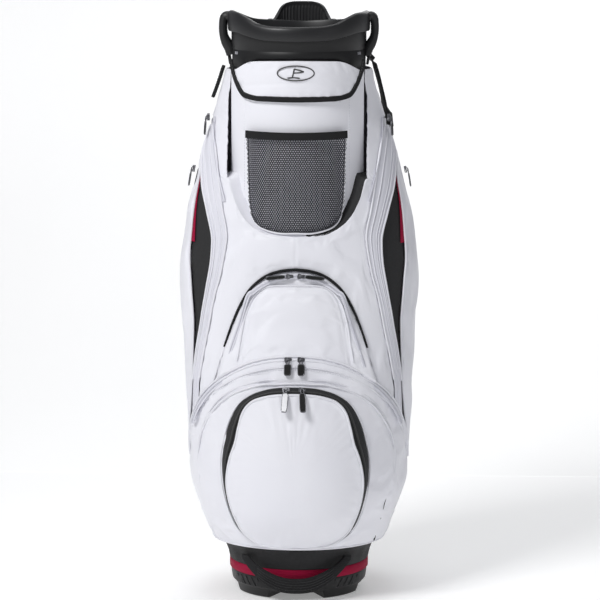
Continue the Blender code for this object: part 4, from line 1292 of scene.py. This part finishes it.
def make_cowl():
    """The rear cowl: a ribbed scoop over the putter well."""
    half = [(0.0580, 0.0990), (0.0550, 0.1030), (0.0520, 0.1070), (0.0488, 0.1115), (0.0460, 0.1160),
            (0.0420, 0.1240), (0.0365, 0.1320), (0.0285, 0.1375), (0.0170, 0.1405), (0, 0.1422)]
    stations, levels, low = 221, 40, 0.8453
    outline = through([(-x, y) for x, y in half] + [(x, y) for x, y in reversed(half[:-1])], stations)
    top = smooth_curve([(0, 0.9278), (0.013, 0.9276), (0.019, 0.9268), (0.0255, 0.9250),
                        (0.0310, 0.9215), (0.0350, 0.9160), (0.0385, 0.9084), (0.0430, 0.9005),
                        (0.0455, 0.8985), (0.0490, 0.9010), (0.0535, 0.8990), (0.0580, 0.8895)]
                       )(np.abs(outline[:, 0]))
    outward = left_of(outline)
    v = eased(levels, 0.6)[:, None]
    z = low + (top[None] - low) * v
    ribs = 0.0012 * np.clip(np.cos(np.arange(stations) / (stations - 1) * 2 * math.pi * 30), -0.3, 1)
    ribs = ribs * (np.abs(outline[:, 0]) < 0.036)
    rim = 0.0012 * smooth_step(v, 0.90, 0.99)

    def wall(offset):
        flat = outline[None] + outward[None] * np.broadcast_to(offset, z.shape)[..., None]
        return np.concatenate([flat + [0, AXIS_Y], z[..., None]], -1)

    inner = wall(-ribs[None] * (1 - smooth_step(v, 0.88, 0.94)) - rim)
    outer = wall(0.0028 + rim)
    rows = np.concatenate([outer, inner[::-1]])
    size = rows.shape[1]
    faces = grid_faces(len(rows), size, flip=True)
    last = (len(rows) - 1) * size
    faces += [(i + 1, i, last + i, last + i + 1) for i in range(size - 1)]
    for column in (0, size - 1):
        for j in range(levels - 1):
            a, b = j * size + column, (len(rows) - 1 - j) * size + column
            quad = (a, a + size, b - size, b)
            faces.append(quad if column else tuple(reversed(quad)))
    piece = add_mesh("cowl", rows, faces, rows[..., [0, 2]], COWL_PLASTIC)
    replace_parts(piece, "rear_cowl")
    for side, label in SIDES:
        boss = placed((side * 0.0575, 0.1000 + AXIS_Y, 0.8800), (0, 0, 1), (1, 0, 0))
        lathe(f"cowl_boss_{label}", [(0.0080, 0), (0.0080, 0.0100), (0.0070, 0.0124),
                                     (0.0040, 0.0134), (0.0010, 0.0136)], boss)


def make_base():
    """The moulded boot on its four feet, the red band, the pleated skirt and the hem above it."""
    def under(angle):
        at = folded(angle)
        foot = smooth_step(at, 24.2, 26.2) - smooth_step(at, 67, 69)
        foot = foot + smooth_step(at, 111, 113) - smooth_step(at, 154, 156)
        return 0.0106 * (1 - foot)

    def boot(angle):
        low = under(angle)
        at = folded(angle)
        pad = 0.0009 * ((low < 0.004) & (np.cos(np.radians(at * 12)) > 0.3))
        return stacked((0.0006, 0.0106), (0.0500, 0.0106), (0.0506, low), (0.0965, low),
                       (0.0998, low + 0.0008), (0.1015, np.maximum(low + 0.0008, 0.0052)),
                       (0.1032, 0.0138), (0.1044, 0.0152), (0.1058, 0.0162), (0.1066 + pad, 0.0178),
                       (0.1078 + pad, 0.0250), (0.1082, 0.0300), (0.1086, 0.0335), (0.1080, 0.0345),
                       (0.1020, 0.0345), (0.1018, 0.0222), (0.0006, 0.0220))

    def band(angle):
        return stacked((0.1098, 0.0348), (0.1105, 0.0356), (0.1108, 0.0424), (0.1106, 0.0490),
                       (0.1100, 0.0497), (0.1016, 0.0497), (0.1016, 0.0348))

    def skirt(angle):
        pleat = 0.0006 * np.sin(np.radians(angle * 9)) + 0.0004 * np.sin(np.radians(angle * 23 + 40))
        edge = hull_radius(angle, 0.0870) - 0.0040
        return stacked((0.1100, 0.0500), (0.1112 + pleat / 2, 0.0525), (0.1135 + pleat, 0.0640),
                       (0.1180 + pleat, 0.0755), (edge - 0.0060, 0.0835), (edge, 0.0868),
                       (edge - 0.002, 0.0885), (0.1016, 0.0885), (0.1016, 0.0500))

    ring_mesh("boot", boot, PLASTIC, 360, replaces=["base_boot"])
    ring_mesh("red_band", band, RED, 160, replaces=["base_red_band"])
    ring_mesh("skirt", skirt, BLACK, 220, replaces=["base_skirt"])
    angle = np.linspace(0, 360, 320, endpoint=False)
    hem = polar(hull_radius(angle, HEM) - 0.0004, angle, HEM)
    tube("hem_piping", [hem], 0.0019, closed=True)
    make_boot_ribs()
    make_grab_handle()


def make_boot_ribs():
    """Slanted ribs on the shoulders of the four feet."""
    paths = []
    for centre in (46, 134, 226, 314):
        for step in (-13, -6.5, 0, 6.5, 13):
            lean = 2.2 if centre < 180 else -2.2
            paths.append(polar(np.linspace(0.1064, 0.1084, 8),
                               centre + step + np.linspace(-lean, lean, 8),
                               np.linspace(0.0170, 0.0310, 8)))
    swept("boot_ribs", paths, flat_section(0.0018, 0.0022), PLASTIC, "black_plastic")


def make_grab_handle():
    """The ribbed handle across the front of the base."""
    half = [(0.0800, -0.0915, 0.0700), (0.0790, -0.0930, 0.0655), (0.0680, -0.1045, 0.0545),
            (0.0510, -0.1155, 0.0420), (0.0300, -0.1210, 0.0315), (0.0120, -0.1230, 0.0275)]
    route = [(-x, y, z) for x, y, z in half] + list(reversed(half))
    path = through([(x, y + AXIS_Y, z) for x, y, z in route], 120)
    share = np.abs(np.linspace(-1, 1, 120))
    wide = 1.12 - 0.42 * smooth_step(share, 0.2, 0.9)
    strap = swept("grab_handle", [path], flat_section(0.0215, 0.0048), WEBBING, "black_plastic",
                  scale=(wide, 1))
    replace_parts(strap, "base_grab_handle")
    face = (path + unit(from_axis(path)) * 0.0025)[22:98]
    ribs = [face + [0, 0, h] for h in (-0.0060, -0.0020, 0.0020, 0.0060)]
    tube("grab_handle_ribs", ribs, 0.0007, PLASTIC, "black_plastic")


def make_spine():
    """The padded back panel between the rear pockets, sewn into channels."""
    rows, columns, low = 170, 60, 0.0920
    middle_half, channel_pitch = 0.045, 0.052
    u, v = np.meshgrid(eased(columns, 0.6), eased(rows, 0.3))
    z = low + (TOP_SEAM - low) * v
    edge = hull_radius(POCKET_BACK_ANGLE, z) * math.sin(math.radians(POCKET_BACK_ANGLE))
    x = (edge - 0.0015) * (1 - 2 * u)
    base = np.stack([x, back_of_shell(x, z), z], -1)
    side = np.minimum.reduce([edge - np.abs(x), z - low, TOP_SEAM - z])
    beside = np.abs(np.abs(x) - middle_half)
    channel = np.abs(((z - 0.10) / channel_pitch) % 1 - 0.5) * channel_pitch
    seam = np.where(np.abs(x) < middle_half, np.minimum(channel_pitch / 2 - channel, beside), beside)
    lift = 0.0022 * np.tanh(seam / 0.006) - 0.0012 - rolled_edge(side, 0.0022, 0.008)
    lift = lift + 0.0006 * wander(base, 0.06, 3)
    points = base + np.array([0, 1.0, 0]) * lift[..., None]
    pad = add_mesh("spine_padding", points, grid_faces(rows, columns), np.stack([x, z], -1), BLACK)
    solidify(pad, 0.0020)
    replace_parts(pad, "spine_pad")
    height = np.linspace(0.11, 0.81, 120)
    depth = back_of_shell(middle_half, height) - 0.0008
    lines = [np.stack([np.full(120, side * 0.0448), depth, height], -1) for side, _ in SIDES]
    stitches("spine_stitches", lines, THREAD, width=0.0008,
             outward=np.array([0.0, 1.0, 0.0]))


STRAP_ROUTE = [(0.1172, 0.030, 0.8360), (0.1255, 0.036, 0.8050), (0.1325, 0.050, 0.7720),
               (0.1365, 0.074, 0.7330), (0.1370, 0.102, 0.6880), (0.1300, 0.123, 0.6380),
               (0.1190, 0.139, 0.5850), (0.1090, 0.1515, 0.5200), (0.0960, 0.1610, 0.4500),
               (0.0860, 0.1650, 0.3800), (0.0780, 0.1650, 0.3200), (0.0715, 0.1620, 0.2700),
               (0.0670, 0.1570, 0.2350)]


def make_strap():
    """The shoulder strap: padded middle, webbing ends and buckles; its anchors stay the CAD parts."""
    route = np.array(STRAP_ROUTE) + AXIS
    top = through(route[:6], 150)[:118]
    pad = through(route[3:11], 200)[34:172]
    foot = through(route[8:], 120)[30:]
    upper = swept("strap_webbing_upper", [top], flat_section(0.0280, 0.0026), WEBBING, "webbing")
    lower = swept("strap_webbing_lower", [foot], flat_section(0.0280, 0.0026), WEBBING, "webbing")
    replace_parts(upper, "strap_upper_webbing")
    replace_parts(lower, "strap_lower_webbing")
    share = np.abs(np.linspace(-1, 1, len(pad)))
    taper = 1 - 0.42 * smooth_step(share, 0.72, 1.0)
    thick = 1 - 0.55 * smooth_step(share, 0.80, 1.0)
    body = swept("strap_pad", [pad], flat_section(0.060, 0.0135, 0.4), BLACK, "black_fabric",
                 scale=(taper, thick))
    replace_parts(body, "strap_shoulder_pad")
    _, side, out = frames_along(pad)
    edges = [pad + side * (0.0245 * taper * s)[:, None] + out * (0.0064 * thick)[:, None]
             for s in (-1, 1)]
    swept("strap_binding", [pad + side * (0.0292 * taper * s)[:, None] for s in (-1, 1)],
          round_section(0.0030), BINDING, "black_fabric")
    stitches("strap_stitches", edges, THREAD, width=0.0008)
    for name, path, k in (("upper", top, 62), ("lower", foot, 40)):
        make_buckle(f"strap_buckle_{name}", path, k)


def make_buckle(name, path, k):
    """A ladder-lock buckle round the webbing at point k of its path."""
    tangent, side, out = frames_along(path)
    parts = []
    for step, lift in ((-0.011, 0.0035), (-0.003, 0.0045), (0.006, 0.0038), (0.013, 0.0028)):
        middle = path[k] + tangent[k] * step + out[k] * lift
        bar = np.array([middle + side[k] * s for s in np.linspace(-0.0165, 0.0165, 8)])
        parts.append(sweep_parts(bar, round_section(0.0019), outward=out[k]))
    for s in (-1, 1):
        rail = np.array([path[k] + tangent[k] * step + side[k] * s * 0.0165 + out[k] * 0.0034
                         for step in np.linspace(-0.012, 0.014, 8)])
        parts.append(sweep_parts(rail, flat_section(0.0036, 0.0050), outward=out[k]))
    add_parts(name, parts, PLASTIC)


def make_glove_tab():
    """The webbing tab for a glove, on the left shoulder."""
    path = through([(-0.1180, AXIS_Y, 0.8320), (-0.1265, AXIS_Y, 0.8060), (-0.1350, AXIS_Y, 0.7830)],
                   50)
    out = np.array([-1, 0, -0.3])
    tab = swept("glove_patch", [path], flat_section(0.024, 0.0048), WEBBING, "black_fabric",
                outward=out)
    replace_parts(tab, "glove_tab")
    _, side, away = frames_along(path, out)
    stitches("glove_patch_stitches", [path + side * s * 0.0098 + away * 0.0024 for s in (-1, 1)],
             BLACK_THREAD, outward=out)


def make_rims():
    """Rounded caps on the divider walls and the liner."""
    top, bore, wall = 0.8786, LINER_RADIUS - 0.004, 0.047
    lines = []
    for y in (-wall, 0.0, wall):
        half = math.sqrt(bore ** 2 - y ** 2)
        lines.append([(-half, y), (half, y)])
    for y0, y1 in ((-wall, 0.0), (0.0, wall)):
        lines += [[(x, y0), (x, y1)] for x in (-wall, 0, wall)]
    for sign in (-1, 1):
        for x in (-0.0221, 0.0221):
            lines.append([(x, sign * wall), (x, sign * math.sqrt(bore ** 2 - x ** 2))])
    paths = [np.array([(x0 + (x1 - x0) * s, y0 + (y1 - y0) * s + AXIS_Y, top)
                       for s in np.linspace(0, 1, 12)]) for (x0, y0), (x1, y1) in lines]
    swept("divider_caps", paths, flat_section(0.0062, 0.0046), PLASTIC, "black_plastic",
          outward=np.array([0.0, 0.0, 1.0]))
    angle = np.linspace(0, 360, 160, endpoint=False)
    ring = polar(LINER_RADIUS - 0.0022, angle, top - 0.0010)
    swept("liner_cap", [ring], flat_section(0.0050, 0.0060), PLASTIC, "black_plastic", closed=True)


def local_parts(place, parts):
    """Parts made in a local frame, moved to that place in the bag's frame."""
    turn, shift = np.array(place.to_3x3()), np.array(place.translation)
    return [(points @ turn.T + shift, faces, uv) for points, faces, uv in parts]


def plate(outline, low, high, bevel):
    """A bevelled plate in the local XY plane, as points, faces and UVs."""
    flat = np.asarray(outline, float)
    middle = flat.mean(0)
    size = np.abs(flat - middle).max()
    shrunk = middle + (flat - middle) * (1 - bevel / size)
    rings = [np.column_stack([ring, np.full(len(ring), z)])
             for ring, z in ((shrunk, low), (flat, low + bevel), (flat, high - bevel), (shrunk, high))]
    points = np.concatenate(rings)
    return points, tube_faces(4, len(flat), flip=True), points[:, :2]


def pill(width, length, start, z):
    """A rounded rectangle outline along +Y from start, at height z."""
    turn = np.linspace(0, 2 * math.pi, 40, endpoint=False)
    c, s = np.cos(turn), np.sin(turn)
    x = np.sign(c) * np.abs(c) ** 0.4 * width / 2
    y = np.sign(s) * np.abs(s) ** 0.4 * length / 2 + start + length / 2
    return np.stack([x, y, np.full(40, z)], -1)


def long_way(node):
    """The unit direction in which a CAD node is longest, and its middle."""
    mesh = frame["nodes"][node].data
    points = np.unique(np.round([tuple(v.co) for v in mesh.vertices], 6), axis=0)
    middle = points.mean(0)
    _, vectors = np.linalg.eigh((points - middle).T @ (points - middle))
    return Vector(vectors[:, -1]), Vector(middle)


def make_zip_hardware():
    """Every slider and pull, in the places and directions of their CAD solids."""
    joints = {joint["child"]: joint for joint in frame["joints"]}
    for kind in ("upper", "lower", "ball", "side", "rear"):
        for _, label in SIDES:
            slider = f"{kind}_slider_{label}"
            pull = slider + "_pull"
            pivot = Vector(joints[pull]["pos_m"])
            axis = Vector(joints[pull]["axis"]).normalized()
            way, middle = long_way(pull)
            if way.dot(middle - pivot) < 0:
                way = -way
            way = (way - axis * way.dot(axis)).normalized()
            normal = axis.cross(way)
            run, _ = long_way(slider)
            length = 2 * (middle - pivot).dot(way)
            make_slider_piece(slider, pivot, run, normal)
            is_metal = kind == "ball" and label == "left"
            make_pull_piece(pull, pivot, way, normal, length, kind, is_metal)


def add_casting(name, place, parts, material, body):
    """A piece made of parts in a local frame, with crisp edges."""
    piece = add_parts(name, local_parts(place, parts), material, body)
    piece.data.set_sharp_from_angle(angle=CASTING_SHARP_ANGLE)
    return piece


def make_slider_piece(slider, pivot, run, normal):
    """A cast slider: two plates, the neck between them and the bridge that holds the pull."""
    place = placed(pivot - normal * 0.0040, normal, run)
    wing = [(-0.0052, -0.0022), (-0.0015, -0.0027), (0.0022, -0.0040), (0.0050, -0.0036),
            (0.0056, 0.0), (0.0050, 0.0036), (0.0022, 0.0040), (-0.0015, 0.0027), (-0.0052, 0.0022),
            (-0.0057, 0.0)]
    outline = through(wing, 48, closed=True)
    arch = np.array([(-0.0036 * math.cos(t), 0.0, 0.0026 + 0.0021 * math.sin(t))
                     for t in np.linspace(0, math.pi, 16)])
    parts = [plate(outline, -0.0004, 0.0008, 0.0003), plate(outline, 0.0017, 0.0030, 0.0004),
             plate(outline * 0.45 + [0.0020, 0], 0.0006, 0.0020, 0.0001),
             sweep_parts(arch, flat_section(0.0022, 0.0009), outward=arch - [0, 0, 0.001])]
    piece = add_casting(slider + "_casting", place, parts, DARK_STEEL, slider)
    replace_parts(piece, slider)


PULL_WIDTHS = {"upper": 0.0072, "lower": 0.0115, "ball": 0.0105, "side": 0.0078, "rear": 0.0078}
BALL_PULL_STRETCH = 1.26


def make_pull_piece(pull, pivot, way, normal, length, kind, is_metal):
    """A pull: a wire loop through the slider's bridge, and a tab with a raised rim."""
    length *= BALL_PULL_STRETCH if kind == "ball" else 1.0
    wide = PULL_WIDTHS[kind]
    x_axis = way.cross(normal)
    place = placed(pivot, normal, x_axis)
    place = place if Vector(place.to_3x3().col[1]).dot(way) > 0 else placed(pivot, normal, -x_axis)
    up = np.array([0.0, 0.0, 1.0])
    loop = np.array([(0.0026 * math.cos(t), 0.0040 + 0.0048 * math.sin(t), 0.0012)
                     for t in np.linspace(0, 2 * math.pi, 28, endpoint=False)])
    rim = pill(wide - 0.0016, length - 0.0078, 0.0074, 0.0014)
    wires = [sweep_parts(loop, round_section(0.0007), outward=up, closed=True),
             sweep_parts(rim, flat_section(0.0013, 0.0021), outward=up, closed=True)]
    add_parts(pull + "_rim", local_parts(place, wires), DARK_STEEL, pull)
    tab = [plate(pill(wide - 0.0020, length - 0.0084, 0.0076, 0.0)[:, :2], 0.0004, 0.0022, 0.0004)]
    if not is_metal:
        for k in range(5):
            y = 0.0115 + k * (length - 0.0170) / 4
            bar = np.array([(x, y, 0.0023) for x in np.linspace(-0.30, 0.30, 5) * wide])
            tab.append(sweep_parts(bar, flat_section(0.0014, 0.0008), outward=up))
    finish, slot = (STEEL, "zip_metal") if is_metal else (RUBBER, "pull_rubber")
    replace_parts(add_casting(pull + "_tab", place, tab, finish, pull), pull)


def dress_cad():
    """Better materials for the CAD parts that stay on show."""
    finishes = {"inner_liner": SHEETING, "putter_well": SHEETING, "divider_front": LINING,
                "divider_middle": LINING, "divider_rear": LINING, "stay_rod_left": ROD,
                "stay_rod_right": ROD, "strap_top_anchor": PLASTIC, "strap_foot_anchor": PLASTIC}
    for name, finish in finishes.items():
        mesh = frame["nodes"][name].data
        mesh.materials.clear()
        mesh.materials.append(finish)


# ---------------------------------------------------------------------------------------------
# Studio
# ---------------------------------------------------------------------------------------------

def make_studio():
    """A pale floor with a low ramp behind it, an even sky and four soft lamps."""
    white, tree, shader = shader_of("studio_white", 0.8)
    shade(tree, shader, object_noise(tree, 3.0), (0.90, 0.90, 0.90), (0.93, 0.93, 0.93))
    shader.inputs["Emission Color"].default_value = (1, 1, 1, 1)
    shader.inputs["Emission Strength"].default_value = 0.25
    ramp = through([(0.9, 0.0), (1.6, 0.12), (2.1, 0.42), (2.4, 0.98)], 30)
    for name, line, half in (("studio_floor", np.array([(-7.0, -0.0004), (9.0, -0.0004)]), 8.0),
                             ("studio_ramp", ramp, 1.15)):
        rows = [(x, y, z) for y, z in line for x in (-half, half)]
        ground = plain_mesh(name, rows, grid_faces(len(line), 2, flip=True), white)
    world = bpy.data.worlds.new("studio")
    world.use_nodes = True
    world.node_tree.nodes["Background"].inputs["Color"].default_value = (0.93, 0.95, 1.0, 1)
    world.node_tree.nodes["Background"].inputs["Strength"].default_value = 0.26
    bpy.context.scene.world = world
    bpy.context.scene.view_settings.view_transform = "Standard"
    lamps = (("key", (-1.6, -2.0, 2.9), 1.0, 72), ("fill", (2.4, -2.0, 1.4), 1.6, 3),
             ("top", (0.0, 0.3, 2.9), 1.2, 14), ("back", (0.6, 2.0, 1.8), 1.2, 10))
    for name, place, size, power in lamps:
        lamp = bpy.data.lights.new(name, "AREA")
        lamp.size = size
        lamp.energy = power
        holder = bpy.data.objects.new(name, lamp)
        holder.location = place
        aim = Vector((0, 0, 0.5)) - Vector(place)
        holder.rotation_euler = aim.to_track_quat("-Z", "Y").to_euler()
        bpy.context.scene.collection.objects.link(holder)


def make_camera():
    """A long lens that looks down a little, from slightly right of the front."""
    distance, height, tilt, half_view, turn = 4.5, 1.09, 7.95, 5.97, 2.5
    camera = bpy.data.cameras.new("view")
    camera.sensor_width = 36.0
    camera.lens = 18.0 / math.tan(math.radians(half_view))
    camera.shift_x = 0.0017
    camera.clip_end = 50
    holder = bpy.data.objects.new("view", camera)
    holder.location = (distance * math.sin(math.radians(turn)),
                       AXIS_Y - distance * math.cos(math.radians(turn)), height)
    holder.rotation_euler = (math.radians(90 - tilt), 0, math.radians(turn))
    bpy.context.scene.collection.objects.link(holder)
    bpy.context.scene.camera = holder


make_camera()
make_studio()
dress_cad()
make_bridge()
make_underlay()
make_flap()
make_net()
make_chest()
make_upper_pocket()
make_lower_pocket()
make_front_zips()
make_ball_pocket()
for which, word in SIDES:
    make_side(which, word)
make_collar()
make_side_handles()
make_cowl()
make_base()
make_spine()
make_strap()
make_glove_tab()
make_rims()
make_zip_hardware()
run_settling()

bpy.context.view_layer.update()
